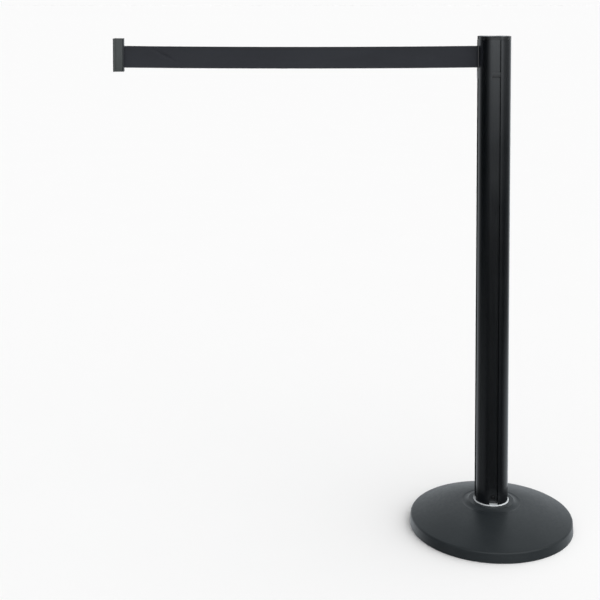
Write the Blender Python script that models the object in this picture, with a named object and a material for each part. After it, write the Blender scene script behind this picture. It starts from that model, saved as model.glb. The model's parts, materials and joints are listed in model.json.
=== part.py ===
"""Retractable belt stanchion: a weighted round base, a grooved post and a spring-loaded belt cassette.

Metres, +Z up. The origin is on the floor, on the post's axis. The belt leaves the post
towards -X, and -Y is the front. The belt is shown drawn out, level, with its clip where it
docks into the groove of a second stanchion of the same kind.
"""

import math

import bmesh
import bpy
from mathutils import Vector

# Driving dimensions
HEIGHT = 0.940  # floor to the top of the cap
POST_RADIUS = 0.03175  # 63.5 mm tube size
POST_FOOT_Z = 0.0518
BASE_RADIUS = 0.155
BELT_WIDTH = 0.041
BELT_Z = 0.901  # middle of the belt
BELT_THICKNESS = 0.0006
POST_SPACING = 0.741  # to the post that the drawn belt docks into
GAP = 0.0003  # between neighbouring pieces

# Rubber underside
PAD_RADIUS = 0.1515
PAD_THICKNESS = 0.0025
PAD_HOLE_RADIUS = 0.0140

# Base cover, a thin dome with a rolled rim and a raised hub
COVER_EDGE_Z = 0.0006
COVER_THICKNESS = 0.0020
RIM_STRAIGHT_Z = 0.0166
RIM_LEAN = 0.0010  # how far the rim's wall leans inwards
RIM_ROUND = 0.0040
DOME_SLOPE = math.radians(14.2)
HUB_FILLET = 0.0150
HUB_FILLET_RADIUS = 0.0525  # where the centre of the fillet's arc lies
HUB_TOP_Z = 0.0494
HUB_HOLE_RADIUS = 0.0305

# Cast weight and its bolt
WEIGHT_UNDERSIDE_Z = 0.0030
WEIGHT_BOSS_RADIUS = 0.0302
BOLT_RADIUS = 0.0060
BOLT_HEAD_FLAT = 0.0180
BOLT_HOLE_RADIUS = 0.0065
BOLT_HEAD_LOW_Z = 0.0044
BOLT_HEAD_HIGH_Z = 0.0120
BOLT_TOP_Z = 0.0860
COUNTERBORE_RADIUS = 0.0135
COUNTERBORE_TOP_Z = 0.0170
PLUG_TOP_Z = 0.0040
WASHER_BORE = 0.0064
FLAT_WASHER_RADIUS = 0.0120
SPRING_WASHER_RADIUS = 0.0100
SPRING_WASHER_THICKNESS = 0.0020
SPRING_WASHER_SPLIT = math.radians(7)
RECESS_INNER = 0.042
RECESS_OUTER = 0.130
RECESS_DRAFT = 0.004
RECESS_HIGH_Z = 0.0340
RECESS_LOW_Z = 0.0155

# Foot casting
FLANGE_RADIUS = 0.0336
FLANGE_THICKNESS = 0.0018
SPIGOT_RADIUS = 0.0209
SPIGOT_TOP_Z = 0.0930
TAPPED_HOLE_END_Z = 0.0890
FOOT_SCREW_Z = 0.0630
FOOT_SCREW_RADIUS = 0.0018
FOOT_SCREW_HEAD_RADIUS = 0.0038
FOOT_SCREW_TIP = 0.0135  # distance of the screw's tip from the axis
SCREW_CLEARANCE = 0.0004  # round a screw's shank
PAN_HEAD_RISE = 0.0023

# Post extrusion
CORE_RADIUS = 0.0213
GROOVE_FLOOR = 0.0233  # distance from the axis
GROOVE_LIP = 0.0286  # distance from the axis to the back of the lips
GROOVE_HALF_OPENING = 0.0080
GROOVE_HALF_WIDTH = 0.0110
CHAMBER_INNER = 0.0233
CHAMBER_OUTER = 0.0298
CHAMBER_SIDE = 0.0128

# Cap
CAP_THICKNESS = 0.0067
CAP_EDGE_CHAMFER = 0.0010
CAP_SPIGOT_INNER = 0.0170
CAP_SPIGOT_OUTER = 0.0206
CAP_SPIGOT_BOTTOM_Z = 0.9295
CAP_BOSS_RADIUS = 0.0052
LEAD_IN_DEPTH = 0.0045
LEAD_IN_INNER = 0.0195  # distance from the axis to the top of the slope
CAP_SCREW_RADIUS = 0.0015
CAP_SCREW_HEAD_RADIUS = 0.0033
CAP_SCREW_HEAD_HEIGHT = 0.0017
CAP_SCREW_TIP_Z = 0.9175

# Cassette
CASSETTE_RADIUS = 0.0207
CASSETTE_BORE = 0.0197
SPRING_BORE = 0.0184
CASSETTE_BOTTOM_Z = 0.8520
SPRING_FLOOR_Z = 0.8583
SPRING_LEDGE_Z = 0.8737
CASSETTE_TOP_Z = 0.9260
LID_THICKNESS = 0.0020
SPRING_COVER_THICKNESS = 0.0016
SPRING_TURNS = 6
SPRING_BAND_THICKNESS = 0.0005
SPRING_LOW_Z = 0.8600
SPRING_HIGH_Z = 0.8720
AXLE_RADIUS = 0.0030
AXLE_BOTTOM_Z = 0.8500
AXLE_TOP_Z = 0.9290
AXLE_NECK_DEPTH = 0.0007
AXLE_NECK_LOW_Z = 0.8508
AXLE_NECK_HIGH_Z = 0.8519
AXLE_BORE_RADIUS = 0.0018
AXLE_BORE_BOTTOM_Z = 0.9165
AXLE_CLIP_RADIUS = 0.0055
SPOOL_BOTTOM_Z = 0.8590
SPOOL_TOP_Z = 0.9244
SPOOL_RIM_THICKNESS = 0.0013
SPOOL_LOWER_RIM_Z = 0.8776
SPOOL_RIM_RADIUS = 0.0192
HUB_RADIUS = 0.0075
ARBOR_RADIUS = 0.0048
COIL_RADIUS = 0.0156  # wound belt, with the visible length drawn out
CASSETTE_SCREW_Z = 0.8550
CASSETTE_SCREW_RADIUS = 0.0015
CASSETTE_SCREW_HEAD_RADIUS = 0.0032
CASSETTE_SCREW_TIP = 0.0120
WINDOW_BOTTOM_Z = 0.8720
WINDOW_HALF_WIDTH = 0.0080

# Outlet
BEZEL_BOTTOM_Z = 0.8600
BEZEL_FLOOR = 0.0256  # distance from the axis to the face that the clip rests on
BEZEL_FACE = 0.0321
BEZEL_POCKET_HALF_WIDTH = 0.0068
BELT_SLOT_HALF_WIDTH = 0.0009
BELT_SLOT_ROOM = 0.0007  # above and below the belt in each slot that it passes through
LUG_HALF_WIDTH = 0.0042
LUG_HALF_HEIGHT = 0.0022
LUG_OFFSET = 0.0036  # from the belt's edge to the middle of a lug
GUIDE_PIN_RADIUS = 0.0010
GUIDE_PIN_X = -0.0225
GUIDE_PIN_HALF_LENGTH = 0.0255

# Clip, measured from the face of the post that it docks on
CLIP_HEIGHT = 0.0626
CLIP_Z = BELT_Z + 0.0034
CLIP_HALF_WIDTH = 0.0065
CLIP_BAR = 0.0115
CLIP_COVER_THICKNESS = 0.0017
TONGUE_NECK = 0.0034
TONGUE_DEPTH = 0.0076
TONGUE_HALF_WIDTH = 0.0104
CLIP_FACE_X = -(POST_SPACING - POST_RADIUS)
CLIP_SCREW_OFFSET = 0.0270
CLIP_SCREW_RADIUS = 0.00135
CLIP_SCREW_HEAD_RADIUS = 0.0025
CLIP_SCREW_LENGTH = 0.0088
CLIP_SCREW_HOLE_RADIUS = 0.0017
CLIP_CAVITY_NEAR = 0.0034
CLIP_PIN_OFFSET = 0.0060
CLIP_PIN_RADIUS = 0.0012

STOP_TOP_Z = CLIP_Z - CLIP_HEIGHT / 2  # so that a docked clip leaves its belt level
STOP_HEIGHT = 0.0100

# How many sides the round shapes have
BIG_STEPS = 48
CAP_EDGE_STEPS = 80
ROUND_STEPS = 40
SMALL_STEPS = 20
SCREW_STEPS = 16
HOLE_STEPS = 14
POST_ARC_STEPS = 9

# Each material: base colour, roughness, metallic
MATERIALS = {
    "painted_steel": ((0.035, 0.036, 0.038), 0.45, 0.0),
    "cast_iron": ((0.045, 0.045, 0.047), 0.75, 0.4),
    "black_anodised": ((0.022, 0.023, 0.025), 0.38, 0.7),
    "bare_casting": ((0.62, 0.64, 0.65), 0.35, 1.0),
    "zinc_plated": ((0.55, 0.56, 0.57), 0.30, 1.0),
    "blackened_steel": ((0.030, 0.030, 0.031), 0.35, 0.9),
    "black_plastic": ((0.030, 0.031, 0.033), 0.42, 0.0),
    "grey_plastic": ((0.12, 0.12, 0.125), 0.45, 0.0),
    "rubber": ((0.018, 0.018, 0.018), 0.85, 0.0),
    "webbing": ((0.030, 0.032, 0.038), 0.90, 0.0),
    "spring_steel": ((0.30, 0.31, 0.33), 0.28, 1.0),
}


def clear_scene():
    for found in list(bpy.data.objects):
        bpy.data.objects.remove(found, do_unlink=True)


def material(name):
    """The named material, made the first time that a piece asks for it."""
    made = bpy.data.materials.get(name)
    if made:
        return made
    colour, roughness, metallic = MATERIALS[name]
    made = bpy.data.materials.new(name)
    made.use_nodes = True
    shader = made.node_tree.nodes["Principled BSDF"]
    shader.inputs["Base Color"].default_value = (*colour, 1.0)
    shader.inputs["Roughness"].default_value = roughness
    shader.inputs["Metallic"].default_value = metallic
    made.diffuse_color = (*colour, 1.0)
    return made


def finish_mesh(name, bm, finish=None):
    """Turns a bmesh into an object; with no finish it is a hidden helper for a Boolean."""
    bmesh.ops.remove_doubles(bm, verts=bm.verts, dist=1e-7)
    bmesh.ops.recalc_face_normals(bm, faces=bm.faces)
    mesh = bpy.data.meshes.new(name)
    bm.to_mesh(mesh)
    bm.free()
    mesh.shade_smooth()
    mesh.set_sharp_from_angle(angle=math.radians(32))
    made = bpy.data.objects.new(name, mesh)
    bpy.context.scene.collection.objects.link(made)
    if finish:
        mesh.materials.append(material(finish))
    else:
        made.hide_render = True
        made.display_type = "WIRE"
    return made


def prism(name, outlines, low, high, finish=None):
    """Extrudes a flat outline, and any holes in it, from z = low to z = high."""
    bm = bmesh.new()
    edges = []
    for outline in outlines:
        ring = [bm.verts.new((x, y, low)) for x, y in outline]
        edges += [bm.edges.new(pair) for pair in zip(ring, ring[1:] + ring[:1])]
    bmesh.ops.triangle_fill(bm, use_beauty=True, edges=edges)
    grown = bmesh.ops.extrude_face_region(bm, geom=bm.faces[:])
    lifted = [item for item in grown["geom"] if isinstance(item, bmesh.types.BMVert)]
    bmesh.ops.translate(bm, verts=lifted, vec=(0, 0, high - low))
    return finish_mesh(name, bm, finish)


def turned(name, outline, steps, finish=None):
    """Spins a closed outline of (radius, height) points round the Z axis."""
    bm = bmesh.new()
    points = [bm.verts.new((radius, 0, height)) for radius, height in outline]
    edges = []
    for first, second in zip(points, points[1:] + points[:1]):
        if first.co.x > 0 or second.co.x > 0:
            edges.append(bm.edges.new((first, second)))
    bmesh.ops.spin(
        bm, geom=points + edges, cent=(0, 0, 0), axis=(0, 0, 1), angle=math.tau, steps=steps, use_merge=True
    )
    return finish_mesh(name, bm, finish)


def box(name, low, high, finish=None):
    (x0, y0, z0), (x1, y1, z1) = low, high
    return prism(name, [[(x0, y0), (x1, y0), (x1, y1), (x0, y1)]], z0, z1, finish)


def rod(name, radius, start, end, finish=None, steps=SMALL_STEPS):
    """A plain cylinder between two points."""
    start, end = Vector(start), Vector(end)
    made = turned(name, cylinder_outline(radius, 0, (end - start).length), steps, finish)
    point_along(made, start, end - start)
    return made


def point_along(obj, place, direction):
    """Puts an object's origin at a place, with its own Z axis along a direction."""
    obj.location = place
    obj.rotation_euler = Vector(direction).to_track_quat("Z", "Y").to_euler()


def cylinder_outline(radius, low, high):
    return [(0, low), (radius, low), (radius, high), (0, high)]


def arc(centre, radius, start, end, steps):
    """Points on an arc, ends included, with angles in radians."""
    turns = [start + (end - start) * i / steps for i in range(steps + 1)]
    return [(centre[0] + radius * math.cos(t), centre[1] + radius * math.sin(t)) for t in turns]


def circle(radius, steps, centre=(0, 0)):
    return arc(centre, radius, 0, math.tau, steps)[:-1]


def combine(obj, other, operation):
    boolean = obj.modifiers.new(f"{operation.lower()}_{other.name}", "BOOLEAN")
    boolean.operation = operation
    boolean.solver = "EXACT"
    boolean.object = other


def cut(obj, *cutters):
    for cutter in cutters:
        combine(obj, cutter, "DIFFERENCE")


def add(obj, *others):
    for other in others:
        combine(obj, other, "UNION")


def at_groove(angle, distance, height):
    """A point in the groove that faces an angle, at a distance from the post's axis."""
    return Vector((distance * math.cos(angle), distance * math.sin(angle), height))


def groove_section(angle, pairs):
    """Rotates (distance from the axis, offset across the groove) pairs to the groove's angle."""
    c, s = math.cos(angle), math.sin(angle)
    return [(u * c - v * s, u * s + v * c) for u, v in pairs]


def grooved_outline(half_opening, half_width, floor):
    """The post's round outline with a T-slot on each of its four sides."""
    edge = math.asin(half_opening / POST_RADIUS)
    points = []
    for side in range(4):
        start = side * math.pi / 2
        points += arc((0, 0), POST_RADIUS, start + edge, start + math.pi / 2 - edge, POST_ARC_STEPS)
        points += groove_section(
            start + math.pi / 2,
            [
                (GROOVE_LIP, -half_opening),
                (GROOVE_LIP, -half_width),
                (floor, -half_width),
                (floor, half_width),
                (GROOVE_LIP, half_width),
                (GROOVE_LIP, half_opening),
            ],
        )
    return points


def chamber_outline(quarter):
    """The hollow in the corner between two grooves."""
    near = math.asin(CHAMBER_SIDE / CHAMBER_INNER)
    far = math.asin(CHAMBER_SIDE / CHAMBER_OUTER)
    middle = quarter * math.pi / 2
    inner = arc((0, 0), CHAMBER_INNER, middle + math.pi / 2 - near, middle + near, 4)
    outer = arc((0, 0), CHAMBER_OUTER, middle + far, middle + math.pi / 2 - far, 6)
    return inner + outer


def dome_profile(inset, foot_z):
    """The base's section from the rim's foot up to the hub's edge, inset under the outer skin."""
    centre = (BASE_RADIUS - RIM_LEAN - RIM_ROUND, RIM_STRAIGHT_Z)
    rim = [(BASE_RADIUS - inset, foot_z)]
    rim += arc(centre, RIM_ROUND - inset, 0, math.pi / 2 - DOME_SLOPE, 4)
    # The fillet's arc is tangent to the dome's slope, which is tangent to the rim's round.
    lean = (math.sin(DOME_SLOPE), math.cos(DOME_SLOPE))
    on_dome = (centre[0] + RIM_ROUND * lean[0], centre[1] + RIM_ROUND * lean[1])
    under = on_dome[1] + (on_dome[0] - HUB_FILLET_RADIUS) * math.tan(DOME_SLOPE)
    middle = (HUB_FILLET_RADIUS, under + HUB_FILLET / lean[1])
    start = DOME_SLOPE - math.pi / 2
    rise = middle[1] - (HUB_TOP_Z - inset)
    end = -math.pi / 2 - math.acos(rise / (HUB_FILLET + inset))
    hub = arc(middle, HUB_FILLET + inset, start, end, 4)
    return rim + hub


def base_cover():
    outer = dome_profile(0, COVER_EDGE_Z)
    inner = dome_profile(COVER_THICKNESS, COVER_EDGE_Z)
    top = [(HUB_HOLE_RADIUS, HUB_TOP_Z), (HUB_HOLE_RADIUS, HUB_TOP_Z - COVER_THICKNESS)]
    return turned("base_cover", outer + top + inner[::-1], BIG_STEPS, "painted_steel")


def base_weight():
    outer = dome_profile(COVER_THICKNESS + 2 * GAP, WEIGHT_UNDERSIDE_Z)
    shoulder_z = HUB_TOP_Z - COVER_THICKNESS - 2 * GAP
    boss = [
        (WEIGHT_BOSS_RADIUS, shoulder_z),
        (WEIGHT_BOSS_RADIUS, HUB_TOP_Z),
        (BOLT_HOLE_RADIUS, HUB_TOP_Z),
        (BOLT_HOLE_RADIUS, COUNTERBORE_TOP_Z),
        (COUNTERBORE_RADIUS, COUNTERBORE_TOP_Z),
        (COUNTERBORE_RADIUS, WEIGHT_UNDERSIDE_Z),
    ]
    recess = [
        (RECESS_INNER, WEIGHT_UNDERSIDE_Z),
        (RECESS_INNER + RECESS_DRAFT, RECESS_HIGH_Z),
        (RECESS_OUTER - RECESS_DRAFT, RECESS_LOW_Z),
        (RECESS_OUTER, WEIGHT_UNDERSIDE_Z),
    ]
    return turned("base_weight", outer + boss + recess, BIG_STEPS, "cast_iron")


def floor_pad():
    chamfer = 0.0006
    outline = [
        (PAD_HOLE_RADIUS, 0),
        (PAD_RADIUS - chamfer, 0),
        (PAD_RADIUS, chamfer),
        (PAD_RADIUS, PAD_THICKNESS),
        (PAD_HOLE_RADIUS, PAD_THICKNESS),
    ]
    return turned("floor_pad", outline, BIG_STEPS, "rubber")


def bolt_hole_plug():
    """A push-in rubber plug, flush with the pad's underside, that covers the bolt's head."""
    edge = PAD_HOLE_RADIUS - GAP
    stem = COUNTERBORE_RADIUS - 2 * GAP
    outline = [(0, 0), (edge, 0), (edge, PAD_THICKNESS), (stem, PAD_THICKNESS)]
    outline += [(stem, PLUG_TOP_Z), (0, PLUG_TOP_Z)]
    return turned("bolt_hole_plug", outline, ROUND_STEPS, "rubber")


def tie_bolt():
    """The hexagon bolt that pulls the foot casting down on the weight, from below."""
    chamfer = 0.0010
    inside_head = BOLT_HEAD_LOW_Z + 0.002
    shank = [(0, inside_head), (BOLT_RADIUS, inside_head), (BOLT_RADIUS, BOLT_TOP_Z - chamfer)]
    shank += [(BOLT_RADIUS - chamfer, BOLT_TOP_Z), (0, BOLT_TOP_Z)]
    bolt = turned("tie_bolt", shank, SMALL_STEPS, "zinc_plated")
    corner = BOLT_HEAD_FLAT / 2 / math.cos(math.pi / 6)
    add(bolt, prism("tie_bolt_head", [circle(corner, 6)], BOLT_HEAD_LOW_Z, BOLT_HEAD_HIGH_Z))
    return bolt


def tube_outline(inner, outer, low, high):
    return [(inner, low), (outer, low), (outer, high), (inner, high)]


def open_ring(inner, outer, half_mouth):
    """The outline of a flat ring with a gap in it, on the +X side."""
    ring = arc((0, 0), outer, half_mouth, math.tau - half_mouth, SMALL_STEPS)
    return ring + arc((0, 0), inner, math.tau - half_mouth, half_mouth, SMALL_STEPS)


def washers():
    """The spring washer on the bolt's head, and the flat washer between it and the weight."""
    split_low = BOLT_HEAD_HIGH_Z + GAP
    split_high = split_low + SPRING_WASHER_THICKNESS
    ring = open_ring(WASHER_BORE, SPRING_WASHER_RADIUS, SPRING_WASHER_SPLIT)
    prism("spring_washer", [ring], split_low, split_high, "zinc_plated")
    flat = tube_outline(WASHER_BORE, FLAT_WASHER_RADIUS, split_high + GAP, COUNTERBORE_TOP_Z - GAP)
    turned("flat_washer", flat, SMALL_STEPS, "zinc_plated")


def foot_flange():
    """The casting that ends the post: a flange with a spigot that fills the post's core."""
    low = HUB_TOP_Z + GAP
    high = low + FLANGE_THICKNESS
    bore = BOLT_RADIUS + SCREW_CLEARANCE
    edge, chamfer = 0.0004, 0.0010
    outline = [
        (bore, low),
        (FLANGE_RADIUS, low),
        (FLANGE_RADIUS, high - edge),
        (FLANGE_RADIUS - edge, high),
        (SPIGOT_RADIUS, high),
        (SPIGOT_RADIUS, SPIGOT_TOP_Z - chamfer),
        (SPIGOT_RADIUS - chamfer, SPIGOT_TOP_Z),
        (0, SPIGOT_TOP_Z),
        (0, TAPPED_HOLE_END_Z),
        (bore, TAPPED_HOLE_END_Z),
    ]
    flange = turned("foot_flange", outline, ROUND_STEPS, "bare_casting")
    for side in range(4):
        near = FOOT_SCREW_TIP - 0.001
        cut(flange, screw_hole(f"spigot_hole_{side}", FOOT_SCREW_RADIUS, side, near, FOOT_SCREW_Z))
    return flange


def screw_hole(name, screw_radius, side, near, height):
    """A hidden cutter that runs out through the floor of the groove on one side of the post."""
    angle = side * math.pi / 2
    start = at_groove(angle, near, height)
    end = at_groove(angle, GROOVE_FLOOR + 0.0012, height)
    return rod(name, screw_radius + SCREW_CLEARANCE, start, end, steps=HOLE_STEPS)


def pan_screw(name, side, height, shank_radius, head_radius, tip):
    """A blackened pan-head screw that stands in a groove, with its head on the groove's floor."""
    seat = GROOVE_FLOOR + GAP - tip
    top = seat + PAN_HEAD_RISE
    drive_radius = 0.30 * head_radius
    drive_floor = seat + 0.4 * PAN_HEAD_RISE
    outline = [
        (0, 0),
        (shank_radius, 0.0004),
        (shank_radius, seat),
        (head_radius, seat),
        (head_radius, seat + 0.55 * PAN_HEAD_RISE),
        (0.7 * head_radius, top),
        (drive_radius, top),
        (drive_radius, drive_floor),
        (0, drive_floor),
    ]
    angle = side * math.pi / 2
    screw = turned(name, outline, SCREW_STEPS, "blackened_steel")
    point_along(screw, at_groove(angle, tip, height), at_groove(angle, 1, 0))
    return screw


def foot_screws():
    for side, name in enumerate(("right", "rear", "left", "front")):
        pan_screw(
            f"foot_screw_{name}",
            side,
            FOOT_SCREW_Z,
            FOOT_SCREW_RADIUS,
            FOOT_SCREW_HEAD_RADIUS,
            FOOT_SCREW_TIP,
        )


def post_extrusion():
    """The full-length aluminium profile, open at the top of its core for the cassette."""
    top = HEIGHT - CAP_THICKNESS - GAP
    outlines = [grooved_outline(GROOVE_HALF_OPENING, GROOVE_HALF_WIDTH, GROOVE_FLOOR)]
    outlines.append(circle(CORE_RADIUS, ROUND_STEPS))
    outlines += [chamber_outline(quarter) for quarter in range(4)]
    post = prism("post_extrusion", outlines, POST_FOOT_Z, top, "black_anodised")
    window_low = (-GROOVE_FLOOR - 0.0017, -WINDOW_HALF_WIDTH, WINDOW_BOTTOM_Z)
    window_high = (-0.7 * CORE_RADIUS, WINDOW_HALF_WIDTH, HEIGHT)
    cut(post, box("outlet_window", window_low, window_high))
    inside_core = CORE_RADIUS - 0.003
    for side in range(4):
        cut(post, screw_hole(f"foot_hole_{side}", FOOT_SCREW_RADIUS, side, inside_core, FOOT_SCREW_Z))
    cut(post, screw_hole("cassette_hole", CASSETTE_SCREW_RADIUS, 0, inside_core, CASSETTE_SCREW_Z))
    return post


def top_cap():
    """The plastic cap: it lets a clip's tongue drop into each groove past a sloped lead-in."""
    low = HEIGHT - CAP_THICKNESS
    outline = grooved_outline(GROOVE_HALF_OPENING, GROOVE_HALF_WIDTH, GROOVE_FLOOR)
    cap = prism("top_cap", [outline], low, HEIGHT, "black_plastic")
    inside = low + 0.001
    spigot = tube_outline(CAP_SPIGOT_INNER, CAP_SPIGOT_OUTER, CAP_SPIGOT_BOTTOM_Z, inside)
    boss = cylinder_outline(CAP_BOSS_RADIUS, CAP_SPIGOT_BOTTOM_Z + 0.0001, inside)
    add(cap, turned("cap_spigot", spigot, ROUND_STEPS), turned("cap_boss", boss, SMALL_STEPS))
    cut(cap, turned("cap_edge", cap_edge_outline(), CAP_EDGE_STEPS))
    for side in range(4):
        cut(cap, lead_in(side))
    cut(cap, turned("cap_screw_hole", cap_screw_hole_outline(), SMALL_STEPS))
    return cap


def cap_edge_outline():
    """What the chamfer takes off the cap's upper edge."""
    above = HEIGHT + 0.001
    outside = POST_RADIUS + 0.004
    shoulder = POST_RADIUS - CAP_EDGE_CHAMFER
    chamfer_z = HEIGHT - CAP_EDGE_CHAMFER
    return [
        (shoulder, above),
        (shoulder, HEIGHT),
        (POST_RADIUS + 0.0001, chamfer_z),
        (outside, chamfer_z),
        (outside, above),
    ]


def cap_screw_hole_outline():
    """A through hole with a countersink that leaves the screw's head just under the cap's top."""
    shank = CAP_SCREW_RADIUS + SCREW_CLEARANCE
    head = CAP_SCREW_HEAD_RADIUS + SCREW_CLEARANCE
    sink_top = HEIGHT - 0.0004
    sink_bottom = sink_top - (head - shank)
    below, above = CAP_SPIGOT_BOTTOM_Z - 0.0045, HEIGHT + 0.002
    return [(0, below), (shank, below), (shank, sink_bottom), (head, sink_top), (head, above), (0, above)]


def lead_in(side):
    """The wedge that slopes the inner end of a notch in the cap."""
    low, high = HEIGHT - LEAD_IN_DEPTH, HEIGHT + 0.0010
    near, far = LEAD_IN_INNER, GROOVE_FLOOR + 0.0005
    bm = bmesh.new()
    angle = side * math.pi / 2
    ends = []
    for across in (-GROOVE_HALF_WIDTH, GROOVE_HALF_WIDTH):
        corner = [(far, low), (far, high), (near, high)]
        ring = []
        for distance, height in corner:
            x, y = groove_section(angle, [(distance, across)])[0]
            ring.append(bm.verts.new((x, y, height)))
        ends.append(ring)
        bm.faces.new(ring)
    for i in range(3):
        j = (i + 1) % 3
        bm.faces.new((ends[0][i], ends[0][j], ends[1][j], ends[1][i]))
    return finish_mesh(f"lead_in_{side}", bm)


def cap_screw():
    """The countersunk screw that clamps the cap to the end of the spool's axle."""
    shank, head = CAP_SCREW_RADIUS, CAP_SCREW_HEAD_RADIUS
    top = HEIGHT - 0.0001
    rim = top - 0.0003
    drive_radius = 0.3 * head
    drive_floor = top - 0.0013
    outline = [
        (0, CAP_SCREW_TIP_Z),
        (0.8 * shank, CAP_SCREW_TIP_Z),
        (shank, CAP_SCREW_TIP_Z + 0.0005),
        (shank, rim - CAP_SCREW_HEAD_HEIGHT),
        (head, rim),
        (head, top),
        (drive_radius, top),
        (drive_radius, drive_floor),
        (0, drive_floor),
    ]
    return turned("cap_screw", outline, SMALL_STEPS, "blackened_steel")


def cassette_body():
    """The cup that holds the spring, and above it the spool, inside the post's core."""
    bore = AXLE_RADIUS + GAP
    outline = [
        (bore, CASSETTE_BOTTOM_Z),
        (CASSETTE_RADIUS, CASSETTE_BOTTOM_Z),
        (CASSETTE_RADIUS, CASSETTE_TOP_Z),
        (CASSETTE_BORE, CASSETTE_TOP_Z),
        (CASSETTE_BORE, SPRING_LEDGE_Z),
        (SPRING_BORE, SPRING_LEDGE_Z),
        (SPRING_BORE, SPRING_FLOOR_Z),
        (bore, SPRING_FLOOR_Z),
    ]
    body = turned("cassette_body", outline, ROUND_STEPS, "grey_plastic")
    half_height = BELT_WIDTH / 2 + 0.0015
    half_width = 0.3 * CASSETTE_BORE
    low = (-CASSETTE_RADIUS - 0.004, -half_width, BELT_Z - half_height)
    high = (-0.7 * CASSETTE_RADIUS, half_width, BELT_Z + half_height)
    cut(body, box("cassette_window", low, high))
    near = CASSETTE_SCREW_TIP - 0.001
    cut(body, screw_hole("cassette_body_hole", CASSETTE_SCREW_RADIUS, 0, near, CASSETTE_SCREW_Z))
    return body


def cassette_lid():
    low = CASSETTE_TOP_Z + GAP
    outline = tube_outline(AXLE_RADIUS + GAP, CASSETTE_RADIUS, low, low + LID_THICKNESS)
    return turned("cassette_lid", outline, ROUND_STEPS, "grey_plastic")


def spring_cover():
    low = SPRING_LEDGE_Z + GAP
    outline = tube_outline(ARBOR_RADIUS + 0.0005, CASSETTE_BORE - GAP, low, low + SPRING_COVER_THICKNESS)
    return turned("spring_cover", outline, ROUND_STEPS, "grey_plastic")


def power_spring():
    """The flat coil spring that winds the belt in: its inner end turns with the arbor."""
    room = 2 * GAP
    first, last = ARBOR_RADIUS + room, SPRING_BORE - room
    steps = SPRING_TURNS * 15
    path = []
    for i in range(steps + 1):
        share = i / steps
        radius = first + (last - first) * share
        angle = SPRING_TURNS * math.tau * share
        path.append((radius * math.cos(angle), radius * math.sin(angle)))
    outline = ribbon_outline(path, SPRING_BAND_THICKNESS)
    return prism("power_spring", [outline], SPRING_LOW_Z, SPRING_HIGH_Z, "spring_steel")


def ribbon_outline(path, thickness):
    """The outline of a band of one thickness that follows a path."""
    left, right = [], []
    for i, (x, y) in enumerate(path):
        before, after = Vector(path[max(i - 1, 0)]), Vector(path[min(i + 1, len(path) - 1)])
        along = (after - before).normalized() * thickness / 2
        left.append((x - along.y, y + along.x))
        right.append((x + along.y, y - along.x))
    return left + right[::-1]


def spool_axle():
    """The fixed pin that the spool turns on; a screw clamps the cap to its tapped end."""
    neck = AXLE_RADIUS - AXLE_NECK_DEPTH
    outline = [
        (0, AXLE_BOTTOM_Z),
        (AXLE_RADIUS, AXLE_BOTTOM_Z),
        (AXLE_RADIUS, AXLE_NECK_LOW_Z),
        (neck, AXLE_NECK_LOW_Z),
        (neck, AXLE_NECK_HIGH_Z),
        (AXLE_RADIUS, AXLE_NECK_HIGH_Z),
        (AXLE_RADIUS, AXLE_TOP_Z),
        (AXLE_BORE_RADIUS, AXLE_TOP_Z),
        (AXLE_BORE_RADIUS, AXLE_BORE_BOTTOM_Z),
        (0, AXLE_BORE_BOTTOM_Z),
    ]
    return turned("spool_axle", outline, SMALL_STEPS, "zinc_plated")


def axle_clip():
    """The spring clip in the neck of the axle, under the cassette."""
    bore = AXLE_RADIUS - AXLE_NECK_DEPTH + GAP
    ring = open_ring(bore, AXLE_CLIP_RADIUS, math.radians(35))
    play = 0.0002
    return prism("axle_clip", [ring], AXLE_NECK_LOW_Z + play, AXLE_NECK_HIGH_Z - play, "spring_steel")


def belt_spool():
    """The reel: a hub between two flanges, with the arbor for the spring below it."""
    bore = AXLE_RADIUS + GAP
    lower_face = SPOOL_LOWER_RIM_Z + SPOOL_RIM_THICKNESS
    upper_face = SPOOL_TOP_Z - SPOOL_RIM_THICKNESS
    outline = [
        (bore, SPOOL_BOTTOM_Z),
        (ARBOR_RADIUS, SPOOL_BOTTOM_Z),
        (ARBOR_RADIUS, SPOOL_LOWER_RIM_Z),
        (SPOOL_RIM_RADIUS, SPOOL_LOWER_RIM_Z),
        (SPOOL_RIM_RADIUS, lower_face),
        (HUB_RADIUS, lower_face),
        (HUB_RADIUS, upper_face),
        (SPOOL_RIM_RADIUS, upper_face),
        (SPOOL_RIM_RADIUS, SPOOL_TOP_Z),
        (bore, SPOOL_TOP_Z),
    ]
    return turned("belt_spool", outline, ROUND_STEPS, "grey_plastic")


def belt_heights():
    """The lower and the upper edge of the belt."""
    return BELT_Z - BELT_WIDTH / 2, BELT_Z + BELT_WIDTH / 2


def belt_coil():
    outline = tube_outline(HUB_RADIUS + GAP, COIL_RADIUS, *belt_heights())
    return turned("belt_coil", outline, ROUND_STEPS, "webbing")


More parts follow.
